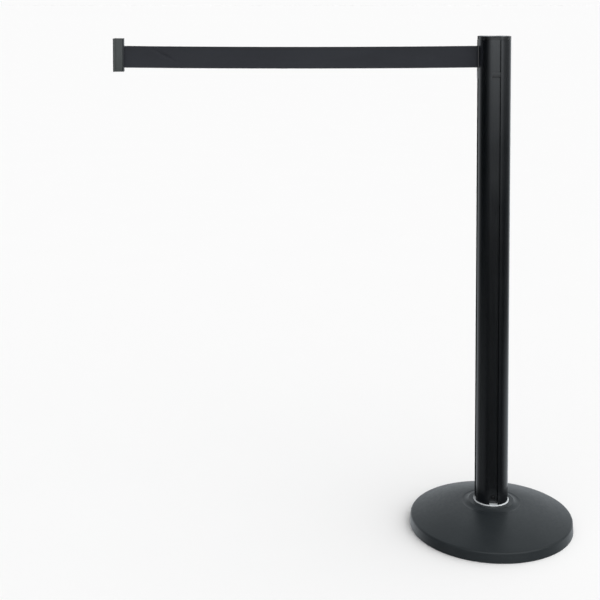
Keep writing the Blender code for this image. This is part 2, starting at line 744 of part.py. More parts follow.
def outlet_bezel():
    """The insert in the belt's groove: it lines the opening, and the clip parks in its pocket."""
    top = HEIGHT - CAP_THICKNESS - GAP
    bezel = prism("outlet_bezel", [bezel_outline()], BEZEL_BOTTOM_Z, top, "grey_plastic")
    belt_low, belt_high = belt_heights()
    for name, middle in (("upper_lug", belt_high + LUG_OFFSET), ("lower_lug", belt_low - LUG_OFFSET)):
        low = (GUIDE_PIN_X - 0.0020, -LUG_HALF_WIDTH, middle - LUG_HALF_HEIGHT)
        high = (GUIDE_PIN_X + 0.0010, LUG_HALF_WIDTH, middle + LUG_HALF_HEIGHT)
        add(bezel, box(name, low, high))
    pocket_half = BEZEL_POCKET_HALF_WIDTH
    pocket_low = (-BEZEL_FACE - 0.008, -pocket_half, CLIP_Z - CLIP_HEIGHT / 2 - GAP)
    cut(bezel, box("bezel_pocket", pocket_low, (-BEZEL_FLOOR, pocket_half, HEIGHT)))
    slot_low = (-BEZEL_FLOOR - 0.004, -BELT_SLOT_HALF_WIDTH, belt_low - BELT_SLOT_ROOM)
    slot_high = (-GROOVE_FLOOR + 0.003, BELT_SLOT_HALF_WIDTH, belt_high + BELT_SLOT_ROOM)
    cut(bezel, box("bezel_slot", slot_low, slot_high))
    for name, side in (("front_socket", -1), ("rear_socket", 1)):
        start, end = guide_pin_ends(side, GUIDE_PIN_HALF_LENGTH + 0.0015)
        cut(bezel, rod(name, GUIDE_PIN_RADIUS + GAP, start, end, steps=SCREW_STEPS))
    return bezel


def bezel_outline():
    half_neck = GROOVE_HALF_OPENING - GAP
    half_head = GROOVE_HALF_WIDTH - GAP
    inner, lip = GROOVE_FLOOR + GAP, GROOVE_LIP - GAP
    edge = math.asin(half_neck / BEZEL_FACE)
    section = [(inner, -half_head), (lip, -half_head), (lip, -half_neck)]
    section += arc((0, 0), BEZEL_FACE, -edge, edge, 6)
    section += [(lip, half_neck), (lip, half_head), (inner, half_head)]
    return groove_section(math.pi, section)


def guide_pin_offset():
    """Half the distance between the guide pins, which leave the belt a free passage."""
    return GUIDE_PIN_RADIUS + BELT_THICKNESS / 2 + 0.00035


def guide_pin_ends(side, half_length):
    y = side * guide_pin_offset()
    return (GUIDE_PIN_X, y, BELT_Z - half_length), (GUIDE_PIN_X, y, BELT_Z + half_length)


def guide_pins():
    """The two smooth pins that the belt slips between on its way out."""
    for name, side in (("guide_pin_front", -1), ("guide_pin_rear", 1)):
        start, end = guide_pin_ends(side, GUIDE_PIN_HALF_LENGTH)
        rod(name, GUIDE_PIN_RADIUS, start, end, "zinc_plated", SCREW_STEPS)


def belt_path():
    """The belt's line seen from above, from its hook round the clip's pin to the wound coil."""
    path = arc(hook_centre(), hook_radius(), math.radians(20), math.radians(270), 14)
    turn = guide_pin_offset()
    coil = COIL_RADIUS + GAP + BELT_THICKNESS / 2
    # The crossed tangent from the rear guide pin's bend to the coil.
    distance = math.hypot(GUIDE_PIN_X, turn)
    lean = math.asin((turn + coil) / distance) + math.atan2(-turn, -GUIDE_PIN_X)
    path += arc((GUIDE_PIN_X, turn), turn, -math.pi / 2, lean - math.pi / 2, 6)
    path.append((-coil * math.sin(lean), coil * math.cos(lean)))
    return path


def hook_radius():
    """The radius of the belt's middle line round the pin in the clip."""
    return CLIP_PIN_RADIUS + GAP + BELT_THICKNESS / 2


def hook_centre():
    return (CLIP_FACE_X + CLIP_PIN_OFFSET, hook_radius())


def belt():
    """The length of webbing that is off the coil."""
    return prism("belt", [ribbon_outline(belt_path(), BELT_THICKNESS)], *belt_heights(), "webbing")


def clip_heights():
    """The lower and the upper end of the clip."""
    return CLIP_Z - CLIP_HEIGHT / 2, CLIP_Z + CLIP_HEIGHT / 2


def clip_body():
    """The bar at the belt's end, with the T-shaped tongue that drops into a groove."""
    x = CLIP_FACE_X
    back = CLIP_BAR - CLIP_COVER_THICKNESS - GAP
    half, chamfer = CLIP_HALF_WIDTH, 0.0006
    upper = [
        (x + back, half),
        (x - TONGUE_NECK, half),
        (x - TONGUE_NECK, TONGUE_HALF_WIDTH - chamfer),
        (x - TONGUE_NECK - chamfer, TONGUE_HALF_WIDTH),
        (x - TONGUE_DEPTH + chamfer, TONGUE_HALF_WIDTH),
        (x - TONGUE_DEPTH, TONGUE_HALF_WIDTH - chamfer),
    ]
    lower = [(px, -py) for px, py in reversed(upper)]
    clip = prism("clip_body", [upper + lower], *clip_heights(), "black_plastic")
    belt_low, belt_high = belt_heights()
    beyond = x + CLIP_BAR + 0.0025
    cavity_low = (x + CLIP_CAVITY_NEAR, -BELT_SLOT_HALF_WIDTH - 0.0005, belt_low - BELT_SLOT_ROOM)
    cavity_high = (beyond, 2 * hook_radius() + 0.0008, belt_high + BELT_SLOT_ROOM)
    cut(clip, box("clip_cavity", cavity_low, cavity_high))
    for name, height in zip(("upper_hole", "lower_hole"), clip_screw_heights()):
        start, end = (x + CLIP_BAR - CLIP_SCREW_LENGTH - 0.0005, 0, height), (beyond, 0, height)
        cut(clip, rod(name, CLIP_SCREW_HOLE_RADIUS, start, end, steps=HOLE_STEPS))
    return clip


def clip_screw_heights():
    return (CLIP_Z + CLIP_SCREW_OFFSET, CLIP_Z - CLIP_SCREW_OFFSET)


def clip_cover():
    """The plate on the belt's side of the clip, with the slot that the belt leaves by."""
    outer = CLIP_FACE_X + CLIP_BAR
    inner = outer - CLIP_COVER_THICKNESS
    half, chamfer = CLIP_HALF_WIDTH, 0.0008
    outline = [(inner, -half), (outer - chamfer, -half), (outer, chamfer - half)]
    outline += [(outer, half - chamfer), (outer - chamfer, half), (inner, half)]
    cover = prism("clip_cover", [outline], *clip_heights(), "black_plastic")
    belt_low, belt_high = belt_heights()
    slot_low = (inner - 0.001, -BELT_SLOT_HALF_WIDTH, belt_low - BELT_SLOT_ROOM)
    slot_high = (outer + 0.001, BELT_SLOT_HALF_WIDTH, belt_high + BELT_SLOT_ROOM)
    cut(cover, box("clip_slot", slot_low, slot_high))
    shank, head = CLIP_SCREW_HOLE_RADIUS, CLIP_SCREW_HEAD_RADIUS + SCREW_CLEARANCE
    sink = [(0, -0.003), (shank, -0.003), (shank, shank - head), (head, 0), (head, 0.001), (0, 0.001)]
    for name, height in zip(("upper_sink", "lower_sink"), clip_screw_heights()):
        hole = turned(name, sink, SMALL_STEPS)
        point_along(hole, (outer, 0, height), (1, 0, 0))
        cut(cover, hole)
    return cover


def clip_screws():
    """The two countersunk screws that hold the cover on the clip; heights run from the cover's face."""
    shank, head = CLIP_SCREW_RADIUS, CLIP_SCREW_HEAD_RADIUS
    top = -0.0002
    drive_radius = 0.32 * head
    drive_floor = top - 0.0009
    outline = [
        (0, -CLIP_SCREW_LENGTH),
        (0.75 * shank, -CLIP_SCREW_LENGTH),
        (shank, 0.0005 - CLIP_SCREW_LENGTH),
        (shank, top - (head - shank)),
        (head, top),
        (drive_radius, top),
        (drive_radius, drive_floor),
        (0, drive_floor),
    ]
    for name, height in zip(("clip_screw_upper", "clip_screw_lower"), clip_screw_heights()):
        screw = turned(name, outline, SCREW_STEPS, "blackened_steel")
        point_along(screw, (CLIP_FACE_X + CLIP_BAR, 0, height), (1, 0, 0))


def belt_end_pin():
    """The pin inside the belt's hook, which keeps the belt from pulling out of the clip."""
    x, y = hook_centre()
    low, high = belt_heights()
    return rod("belt_end_pin", CLIP_PIN_RADIUS, (x, y, low), (x, y, high), "zinc_plated", SCREW_STEPS)


def cassette_screw():
    """The screw through the right-hand groove's floor that keeps the cassette in the post."""
    return pan_screw(
        "cassette_screw",
        0,
        CASSETTE_SCREW_Z,
        CASSETTE_SCREW_RADIUS,
        CASSETTE_SCREW_HEAD_RADIUS,
        CASSETTE_SCREW_TIP,
    )


def groove_stops():
    """Blocks pressed into the three free grooves: a docked clip's tongue stands on them."""
    near, far = GROOVE_FLOOR + GAP, GROOVE_LIP - GAP
    half, chamfer = GROOVE_HALF_WIDTH - GAP, 0.0008
    section = [(near, -half), (far - chamfer, -half), (far, chamfer - half)]
    section += [(far, half - chamfer), (far - chamfer, half), (near, half)]
    for side, name in ((0, "right"), (1, "rear"), (3, "front")):
        outline = groove_section(side * math.pi / 2, section)
        prism(f"groove_stop_{name}", [outline], STOP_TOP_Z - STOP_HEIGHT, STOP_TOP_Z, "black_plastic")


def build():
    clear_scene()
    base_cover()
    base_weight()
    floor_pad()
    bolt_hole_plug()
    tie_bolt()
    washers()
    foot_flange()
    foot_screws()
    post_extrusion()
    top_cap()
    cap_screw()
    cassette_body()
    cassette_lid()
    spring_cover()
    power_spring()
    cassette_screw()
    spool_axle()
    axle_clip()
    belt_spool()
    belt_coil()
    outlet_bezel()
    guide_pins()
    belt()
    clip_body()
    clip_cover()
    clip_screws()
    belt_end_pin()
    groove_stops()


build()
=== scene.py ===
"""The belt stanchion's looks: fine meshes, materials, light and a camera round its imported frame.

Metres, +Z up, as in the frame. -Y is the front, and the belt is drawn out towards -X.
"""

import json
import math

import bmesh
import bpy
from mathutils import Matrix, Vector, noise
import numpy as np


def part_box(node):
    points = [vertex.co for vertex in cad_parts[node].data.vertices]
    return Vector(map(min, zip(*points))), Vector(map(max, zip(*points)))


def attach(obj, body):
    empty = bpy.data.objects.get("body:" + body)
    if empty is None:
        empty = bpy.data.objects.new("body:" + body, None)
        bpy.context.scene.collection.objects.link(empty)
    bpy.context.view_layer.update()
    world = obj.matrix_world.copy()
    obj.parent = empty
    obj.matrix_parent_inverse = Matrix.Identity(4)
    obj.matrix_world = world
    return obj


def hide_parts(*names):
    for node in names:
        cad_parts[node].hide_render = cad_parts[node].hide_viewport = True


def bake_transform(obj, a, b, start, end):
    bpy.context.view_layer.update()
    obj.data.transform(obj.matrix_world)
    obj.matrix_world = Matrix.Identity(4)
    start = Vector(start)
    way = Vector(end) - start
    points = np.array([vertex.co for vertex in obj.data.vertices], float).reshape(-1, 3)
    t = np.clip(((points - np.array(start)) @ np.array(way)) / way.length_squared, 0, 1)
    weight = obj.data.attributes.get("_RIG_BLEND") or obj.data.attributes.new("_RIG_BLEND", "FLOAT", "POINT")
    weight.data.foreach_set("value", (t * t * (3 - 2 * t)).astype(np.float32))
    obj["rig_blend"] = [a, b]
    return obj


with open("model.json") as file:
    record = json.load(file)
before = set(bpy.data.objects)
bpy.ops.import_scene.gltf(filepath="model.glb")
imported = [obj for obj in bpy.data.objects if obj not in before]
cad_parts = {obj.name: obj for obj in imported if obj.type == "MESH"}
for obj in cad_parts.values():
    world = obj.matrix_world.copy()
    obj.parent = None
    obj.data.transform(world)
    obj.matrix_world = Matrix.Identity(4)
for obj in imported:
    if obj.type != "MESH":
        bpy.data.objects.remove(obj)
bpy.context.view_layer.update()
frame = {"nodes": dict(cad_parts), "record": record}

GAP = 0.0003  # between neighbouring pieces, as in the frame
BEYOND = 0.01  # how far most cutters stick out past what they cut

# Base cover
RIM_STRAIGHT_Z = 0.0166
RIM_LEAN = 0.0010  # how far the rim's wall leans inwards
RIM_ROUND = 0.0040
DOME_SLOPE = math.radians(14.2)
HUB_FILLET = 0.0150
HUB_FILLET_RADIUS = 0.0525  # where the centre of the fillet's arc lies
HUB_HOLE_RADIUS = 0.0305
HUB_EDGE_ROUND = 0.0008
SHEET = 0.0020
PAD_HOLE_RADIUS = 0.0140
PAD_EDGE_ROUND = 0.0008
FLANGE_EDGE_ROUND = 0.0005
FLANGE_BORE = 0.0064
FLANGE_SPIGOT = 0.0209
FLANGE_SPIGOT_CHAMFER = 0.0010
FLANGE_SPIGOT_ROOF = 0.0040

# Post section
POST_RADIUS = 0.03175
CORE_RADIUS = 0.0213
GROOVE_FLOOR = 0.0233  # distances from the post's axis
GROOVE_LIP = 0.0286
GROOVE_HALF_OPENING = 0.0080
GROOVE_HALF_WIDTH = 0.0110
CHAMBER_INNER = 0.0233
CHAMBER_OUTER = 0.0298
CHAMBER_SIDE = 0.0128
LIP_ROUND = 0.0009
CHAMBER_ROUND = 0.0008
WINDOW_HALF_WIDTH = 0.0080
WINDOW_FAR = 0.0250  # distances of the belt window's two ends from the post's axis
WINDOW_NEAR = 0.0150
WINDOW_DROP = 0.0085  # below the belt

# Cap
CAP_EDGE_ROUND = 0.0011
CAP_SPIGOT_INNER = 0.0170
CAP_SPIGOT_OUTER = 0.0206
CAP_SPIGOT_ROOT = 0.0010  # how far the spigot and boss reach into the cap
CAP_BOSS_RADIUS = 0.0052
LEAD_IN_DEPTH = 0.0045
LEAD_IN_INNER = 0.0195
LEAD_IN_OVERLAP = 0.0006

# Screws
PAN_HEAD_RISE = 0.0023
PAN_HEAD_WALL = 0.42  # share of the rise below the crown
SHANK_SHARE = 0.47  # of a head's radius
SCREW_TIP_LENGTH = 0.0006
SCREW_TIP_SHARE = 0.7  # of a shank's radius
SCREW_ROOM = 0.0004  # round a shank or a sunk head
SUNK_HEAD_RIM = 0.0003
SUNK_HEAD_EDGE = 0.00008
SUNK_HEAD_CROWN = 0.00002
PAN_HEAD_EDGE = 0.0002
SUNK_CROSS_DEPTH = 0.0011
SUNK_CROSS_REACH = 0.52  # share of the head's radius
PAN_CROSS_DEPTH = 0.0014
PAN_CROSS_REACH = 0.5
CROSS_ARM = 0.28  # half an arm's width, as a share of the cross's reach
CROSS_TAPER = 0.45  # size of the cross's bottom against its top
CROSS_OVERLAP = 0.001  # above the head; the arms' slope depends on it
CLIP_SCREWS = ("clip_screw_upper", "clip_screw_lower")

# Clip and outlet
CLIP_HALF_WIDTH = 0.0065
CLIP_BAR = 0.0115
TONGUE_NECK = 0.0034
CLIP_CAVITY_NEAR = 0.0034
CLIP_CAVITY_ROOM = 0.0014  # in front of the belt, and behind its pin
CLIP_SCREW_HOLE_DEPTH = 0.0005  # past a screw's tip
CLIP_COVER_ROUND = 0.0009
BELT_SLOT_HALF_WIDTH = 0.0009
BELT_SLOT_ROOM = 0.0007
BEZEL_FLOOR = 0.0256
BEZEL_POCKET_HALF_WIDTH = 0.0068
LUG_HALF_WIDTH = 0.0042
LUG_HALF_HEIGHT = 0.0022
LUG_OFFSET = 0.0036
LUG_FAR = 0.0020  # from the guide pins' middle
LUG_NEAR = 0.0010
PIN_SOCKET_DEPTH = 0.0015  # past each end of a guide pin

# How far the cutters of the clip and the outlet stick out. Softening is limited by the way in which
# the cut faces are split, so another reach would change the softened edges a little.
CAVITY_CUTTER = 0.0025
COVER_CUTTER = 0.0010
COVER_SINK_CUTTER = 0.0030  # inwards from the cover's face
POCKET_CUTTER = 0.0080
SLOT_FAR_CUTTER = 0.0040
SLOT_NEAR_CUTTER = 0.0030

# Belt
BELT_THICKNESS = 0.0006
HOOK_END = math.radians(20)  # where the belt's end lies round the clip's pin
SELVEDGE_WIDTH = 0.0012
SELVEDGE_BLEND = 0.0004  # from the edge's bead to the web
SELVEDGE_HALF_THICKNESS = 0.00038
WEB_HALF_THICKNESS = 0.00027
BELT_SAG = 0.0020
BROAD_RIPPLE = 0.0005
FINE_RIPPLE = 0.0002
CREASE_DEPTH = 0.0019
CREASE_WIDTH = 0.0021
CREASE_START = Vector((0.058, 0.0070))  # out from the clip, and down from the belt's top
CREASE_END = Vector((0.094, 0.0265))
CREASE_FADE = 0.15  # share of its length that it runs on for, past each end
SPOOL_HUB_RADIUS = 0.0075

# Edge softening
FINE_EDGE = 0.0003
BEZEL_EDGE = 0.00035
MOULDED_EDGE = 0.0007
FACET_TURN = 38  # degrees; spares the facets of small arcs
SHARP_TURN = 32  # degrees; a shallower edge is shaded smooth
SOFTENED_SHARP_TURN = 50  # the same, once a piece has been softened
SELVEDGE_SHARP_TURN = 60

SIDE_ANGLES = {"right": 0.0, "rear": math.pi / 2, "left": math.pi, "front": 1.5 * math.pi}

TURN_STEPS = 224
SCREW_STEPS = 56
POST_ARC_STEPS = 28
BORE_STEPS = 96
FILLET_STEPS = 5
BELT_STEPS = 480
BELT_ROWS = 22
ROLL_STEPS = 44  # each turn


# Meshes


def arc(centre, radius, start, end, steps):
    """Points on an arc, ends included, with angles in radians."""
    turns = [start + (end - start) * i / steps for i in range(steps + 1)]
    return [(centre[0] + radius * math.cos(t), centre[1] + radius * math.sin(t)) for t in turns]


def turn_at(before, corner, after):
    """How far an outline turns at a corner, in radians."""
    first = Vector(corner) - Vector(before)
    second = Vector(after) - Vector(corner)
    if min(first.length, second.length) < 1e-7:
        return 0.0
    return abs(first.angle_signed(second))


def rounded(outline, radius, least_turn=math.radians(25)):
    """A closed outline with its sharp corners turned into small curves."""
    points = []
    count = len(outline)
    for i, corner in enumerate(outline):
        before, after = outline[i - 1], outline[(i + 1) % count]
        turn = turn_at(before, corner, after)
        if turn < least_turn:
            points.append(corner)
            continue
        here = Vector(corner)
        back, ahead = Vector(before) - here, Vector(after) - here
        reach = min(radius * math.tan(turn / 2), 0.45 * back.length, 0.45 * ahead.length)
        start, end = here + back.normalized() * reach, here + ahead.normalized() * reach
        for step in range(FILLET_STEPS + 1):
            share = step / FILLET_STEPS
            # A quadratic curve through the corner's control point is close to an arc at this size.
            point = start.lerp(here, share).lerp(here.lerp(end, share), share)
            points.append((point.x, point.y))
    return points


def mesh_object(name, bm, sharp=SHARP_TURN):
    bmesh.ops.remove_doubles(bm, verts=bm.verts, dist=1e-7)
    bmesh.ops.recalc_face_normals(bm, faces=bm.faces)
    mesh = bpy.data.meshes.new(name)
    bm.to_mesh(mesh)
    bm.free()
    mesh.shade_smooth()
    mesh.set_sharp_from_angle(angle=math.radians(sharp))
    made = bpy.data.objects.new(name, mesh)
    bpy.context.scene.collection.objects.link(made)
    return made


def prism(name, outlines, low, high):
    """Extrudes a flat outline, and any holes in it, from z = low to z = high."""
    bm = bmesh.new()
    edges = []
    for outline in outlines:
        ring = [bm.verts.new((x, y, low)) for x, y in outline]
        edges += [bm.edges.new(pair) for pair in zip(ring, ring[1:] + ring[:1])]
    bmesh.ops.triangle_fill(bm, use_beauty=True, edges=edges)
    grown = bmesh.ops.extrude_face_region(bm, geom=bm.faces[:])
    lifted = [item for item in grown["geom"] if isinstance(item, bmesh.types.BMVert)]
    bmesh.ops.translate(bm, verts=lifted, vec=(0, 0, high - low))
    bmesh.ops.dissolve_limit(bm, angle_limit=1e-4, verts=bm.verts, edges=bm.edges)
    return mesh_object(name, bm)


def turned(name, outline, steps=TURN_STEPS):
    """Spins a closed outline of (radius, height) points round the Z axis."""
    bm = bmesh.new()
    points = [bm.verts.new((radius, 0, height)) for radius, height in outline]
    edges = []
    for first, second in zip(points, points[1:] + points[:1]):
        if first.co.x > 0 or second.co.x > 0:
            edges.append(bm.edges.new((first, second)))
    bmesh.ops.spin(
        bm, geom=points + edges, cent=(0, 0, 0), axis=(0, 0, 1), angle=math.tau, steps=steps, use_merge=True
    )
    return mesh_object(name, bm)


def block(name, low, high):
    (x0, y0, z0), (x1, y1, z1) = low, high
    return prism(name, [[(x0, y0), (x1, y0), (x1, y1), (x0, y1)]], z0, z1)


def point_along(obj, place, direction):
    """Puts an object's origin at a place, with its own Z axis along a direction."""
    obj.location = place
    obj.rotation_euler = Vector(direction).to_track_quat("Z", "Y").to_euler()
    bpy.context.view_layer.update()


def boolean(obj, other, operation="DIFFERENCE"):
    """Cuts or joins another mesh, which is used up."""
    modifier = obj.modifiers.new(other.name, "BOOLEAN")
    modifier.operation = operation
    modifier.solver = "EXACT"
    modifier.object = other
    apply_modifiers(obj)
    bpy.data.objects.remove(other, do_unlink=True)


def apply_modifiers(obj):
    graph = bpy.context.evaluated_depsgraph_get()
    mesh = bpy.data.meshes.new_from_object(obj.evaluated_get(graph))
    obj.modifiers.clear()
    obj.data = mesh


def soften(obj, width, segments=3, angle=35):
    """Rounds every edge that is sharper than an angle."""
    bevel = obj.modifiers.new("soften", "BEVEL")
    bevel.width = width
    bevel.segments = segments
    bevel.limit_method = "ANGLE"
    bevel.angle_limit = math.radians(angle)
    bevel.use_clamp_overlap = True
    bevel.harden_normals = False
    apply_modifiers(obj)
    obj.data.shade_smooth()
    obj.data.set_sharp_from_angle(angle=math.radians(SOFTENED_SHARP_TURN))


def place(obj, body, material, slot, *nodes):
    """Gives a finished piece its material, and makes it ride and stand for its CAD nodes."""
    obj.data.materials.clear()
    obj.data.materials.append(material)
    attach(obj, body)
    if nodes:
        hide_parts(*nodes)


# Node materials


def add_node(tree, kind, inputs=None, **settings):
    """Adds a shader node; an input may be a value or another node's output."""
    node = tree.nodes.new(kind)
    for name, value in settings.items():
        setattr(node, name, value)
    for socket, value in (inputs or {}).items():
        if isinstance(value, bpy.types.NodeSocket):
            tree.links.new(value, node.inputs[socket])
        else:
            node.inputs[socket].default_value = value
    return node


def object_place(tree, scale=(1, 1, 1)):
    """The point's place in the frame, in metres, stretched by a scale."""
    coordinates = add_node(tree, "ShaderNodeTexCoord")
    mapping = add_node(
        tree, "ShaderNodeMapping", {"Vector": coordinates.outputs["Object"], "Scale": scale}
    )
    return mapping.outputs["Vector"]


def noise_at(tree, vector, scale, detail=3.0, roughness=0.5):
    texture = add_node(
        tree,
        "ShaderNodeTexNoise",
        {"Vector": vector, "Scale": scale, "Detail": detail, "Roughness": roughness},
    )
    return texture.outputs["Fac"]


def remap(tree, value, low, high, to_low, to_high, smooth=False):
    node = add_node(
        tree,
        "ShaderNodeMapRange",
        {"Value": value, "From Min": low, "From Max": high, "To Min": to_low, "To Max": to_high},
        interpolation_type="SMOOTHSTEP" if smooth else "LINEAR",
    )
    return node.outputs["Result"]


def maths(tree, operation, first, second=0.0):
    return add_node(tree, "ShaderNodeMath", {0: first, 1: second}, operation=operation).outputs[0]


def mix_colours(tree, factor, first, second):
    node = add_node(tree, "ShaderNodeMix", {0: factor, 6: (*first, 1), 7: (*second, 1)}, data_type="RGBA")
    return node.outputs[2]


def bump(tree, height, distance):
    inputs = {"Height": height, "Distance": distance, "Strength": 1.0}
    return add_node(tree, "ShaderNodeBump", inputs).outputs["Normal"]


def finish_surface(made, colour, roughness, metallic=0.0, normal=None, extras=None):
    """Plugs sockets or plain values into the material's Principled shader."""
    tree = made.node_tree
    shader = tree.nodes["Principled BSDF"]
    values = {"Base Color": colour, "Roughness": roughness, "Metallic": metallic, **(extras or {})}
    if normal:
        values["Normal"] = normal
    for socket, value in values.items():
        if isinstance(value, bpy.types.NodeSocket):
            tree.links.new(value, shader.inputs[socket])
        else:
            shader.inputs[socket].default_value = value
    return made


def new_material(name):
    made = bpy.data.materials.new(name)
    made.use_nodes = True
    return made, made.node_tree


def powder_coat():
    """Satin black powder coat: a fine pebbled skin with faint cloudiness, and scuffs that vary its gloss all
    over.
    """
    made, tree = new_material("painted_steel")
    place_in_frame = object_place(tree)
    cloud = noise_at(tree, place_in_frame, 14, 2)
    pebble = noise_at(tree, place_in_frame, 1500, 2)
    orange_peel = noise_at(tree, place_in_frame, 260, 1)
    colour = mix_colours(
        tree, remap(tree, cloud, 0.35, 0.65, 0, 1), (0.0158, 0.0202, 0.0228), (0.0198, 0.0246, 0.0272)
    )
    scuff = noise_at(tree, object_place(tree, (1, 1, 6)), 90, 5, 0.7)
    roughness = remap(tree, scuff, 0.3, 0.75, 0.30, 0.44)
    height = maths(tree, "ADD", maths(tree, "MULTIPLY", pebble, 0.5), orange_peel)
    return finish_surface(made, colour, roughness, 0.0, bump(tree, height, 0.00006))


def drawn_metal(name, dark, light, roughness_range, metallic, shine=0.5):
    """Extruded or drawn metal, with fine lines along Z in its colour, gloss and relief."""
    made, tree = new_material(name)
    streak = noise_at(tree, object_place(tree, (1, 1, 0.006)), 900, 4, 0.6)
    band = noise_at(tree, object_place(tree, (1, 1, 0.02)), 120, 2)
    blotch = noise_at(tree, object_place(tree), 18, 3)
    colour = mix_colours(tree, remap(tree, band, 0.3, 0.7, 0, 1), dark, light)
    rub = maths(tree, "ADD", maths(tree, "MULTIPLY", streak, 0.6), maths(tree, "MULTIPLY", blotch, 0.4))
    roughness = remap(tree, rub, 0.35, 0.65, *roughness_range)
    extras = {"Specular IOR Level": shine}
    return finish_surface(made, colour, roughness, metallic, bump(tree, streak, 0.00002), extras)


def cast_metal(name, colour, roughness_range, metallic, grain, relief):
    """Cast or plated metal with a fine even grain."""
    made, tree = new_material(name)
    spot = noise_at(tree, object_place(tree), grain, 3)
    cloud = noise_at(tree, object_place(tree), 60, 2)
    darker = tuple(0.8 * c for c in colour)
    tint = mix_colours(tree, remap(tree, cloud, 0.35, 0.65, 0, 1), darker, colour)
    roughness = remap(tree, cloud, 0.3, 0.7, *roughness_range)
    return finish_surface(made, tint, roughness, metallic, bump(tree, spot, relief))


def moulded_plastic(name, dark, light, roughness_range, shine=0.5):
    """Injection-moulded plastic with a spark-eroded texture and faint flow marks."""
    made, tree = new_material(name)
    texture = noise_at(tree, object_place(tree), 2600, 2)
    flow = noise_at(tree, object_place(tree, (1, 1, 0.35)), 70, 2)
    colour = mix_colours(tree, remap(tree, flow, 0.35, 0.65, 0, 1), dark, light)
    roughness = remap(tree, flow, 0.3, 0.7, *roughness_range)
    extras = {"Specular IOR Level": shine}
    return finish_surface(made, colour, roughness, 0.0, bump(tree, texture, 0.00002), extras)


def rubber():
    made, tree = new_material("rubber")
    grain = noise_at(tree, object_place(tree), 900, 3)
    dust = noise_at(tree, object_place(tree), 45, 4, 0.65)
    dustiness = remap(tree, dust, 0.45, 0.75, 0, 1)
    colour = mix_colours(tree, dustiness, (0.014, 0.014, 0.015), (0.034, 0.033, 0.032))
    return finish_surface(made, colour, 0.82, 0.0, bump(tree, grain, 0.00008))


def webbing():
    """Woven polyester tape: ribs along the belt, crossed by the weft, with a soft sheen."""
    made, tree = new_material("webbing")
    warp_pitch, weft_pitch = 0.00062, 0.00095
    coordinates = add_node(tree, "ShaderNodeTexCoord").outputs["Object"]
    split = add_node(tree, "ShaderNodeSeparateXYZ", {"Vector": coordinates})
    across = maths(tree, "MULTIPLY", split.outputs["Z"], math.tau / warp_pitch)
    along = maths(tree, "MULTIPLY", split.outputs["X"], math.tau / weft_pitch)
    warp = maths(tree, "SINE", across)
    weft = maths(tree, "SINE", along)
    crossing = maths(tree, "MULTIPLY", warp, weft)
    weave = maths(tree, "MULTIPLY", crossing, 0.35)
    relief = maths(tree, "ADD", weave, maths(tree, "MULTIPLY", warp, 0.25))
    fibre = noise_at(tree, object_place(tree, (0.2, 1, 1)), 5200, 2)
    height = maths(tree, "ADD", relief, maths(tree, "MULTIPLY", fibre, 0.5))
    cloud = noise_at(tree, object_place(tree, (0.25, 1, 1)), 30, 3)
    cloudiness = remap(tree, cloud, 0.3, 0.7, 0.2, 0.8)
    # Colour follows the weave's relief as well as the cloudiness: painted shade in the hollows between the
    # threads, lighter on their crowns.
    tone_and_weave_shade = maths(tree, "ADD", cloudiness, maths(tree, "MULTIPLY", relief, 0.3))
    colour = mix_colours(tree, tone_and_weave_shade, (0.0122, 0.0142, 0.0195), (0.0174, 0.0198, 0.0268))
    extras = {"Sheen Weight": 0.22, "Sheen Roughness": 0.5, "Sheen Tint": (0.6, 0.65, 0.8, 1)}
    return finish_surface(made, colour, 0.78, 0.0, bump(tree, height, 0.00012), extras)


def make_materials():
    return {
        "painted_steel": powder_coat(),
        "cast_iron": cast_metal("cast_iron", (0.06, 0.058, 0.056), (0.65, 0.85), 0.4, 700, 0.0003),
        "black_anodised": drawn_metal(
            "black_anodised", (0.0018, 0.0025, 0.0034), (0.0034, 0.0044, 0.0058), (0.15, 0.25), 0.0, 1.0
        ),
        "bare_casting": cast_metal(
            "bare_casting", (0.76, 0.80, 0.82), (0.50, 0.65), 0.0, 1400, 0.00003
        ),
        "zinc_plated": cast_metal(
            "zinc_plated", (0.60, 0.61, 0.62), (0.24, 0.38), 1.0, 1800, 0.00002
        ),
        "blackened_steel": drawn_metal(
            "blackened_steel", (0.020, 0.020, 0.021), (0.032, 0.032, 0.033), (0.26, 0.40), 0.8
        ),
        "black_plastic": moulded_plastic(
            "black_plastic", (0.0050, 0.0054, 0.0058), (0.0075, 0.0080, 0.0085), (0.24, 0.34), 0.9
        ),
        "clip_plastic": moulded_plastic(
            "clip_plastic", (0.044, 0.050, 0.050), (0.054, 0.061, 0.061), (0.40, 0.55)
        ),
        "cover_plastic": moulded_plastic(
            "cover_plastic", (0.021, 0.025, 0.028), (0.027, 0.032, 0.035), (0.40, 0.55)
        ),
        "grey_plastic": moulded_plastic(
            "grey_plastic", (0.085, 0.087, 0.088), (0.12, 0.122, 0.124), (0.38, 0.52)
        ),
        "rubber": rubber(),
        "webbing": webbing(),
        "spring_steel": drawn_metal(
            "spring_steel", (0.28, 0.29, 0.31), (0.36, 0.37, 0.39), (0.18, 0.32), 1.0
        ),
    }


def paint_cad_nodes(materials):
    """Every node that stays gets the node material of its slot in the record."""
    for part in frame["record"]["subparts"]:
        mesh = frame["nodes"][part["node"]].data
        mesh.materials.clear()
        mesh.materials.append(materials[part["material_slot"]])


# Base


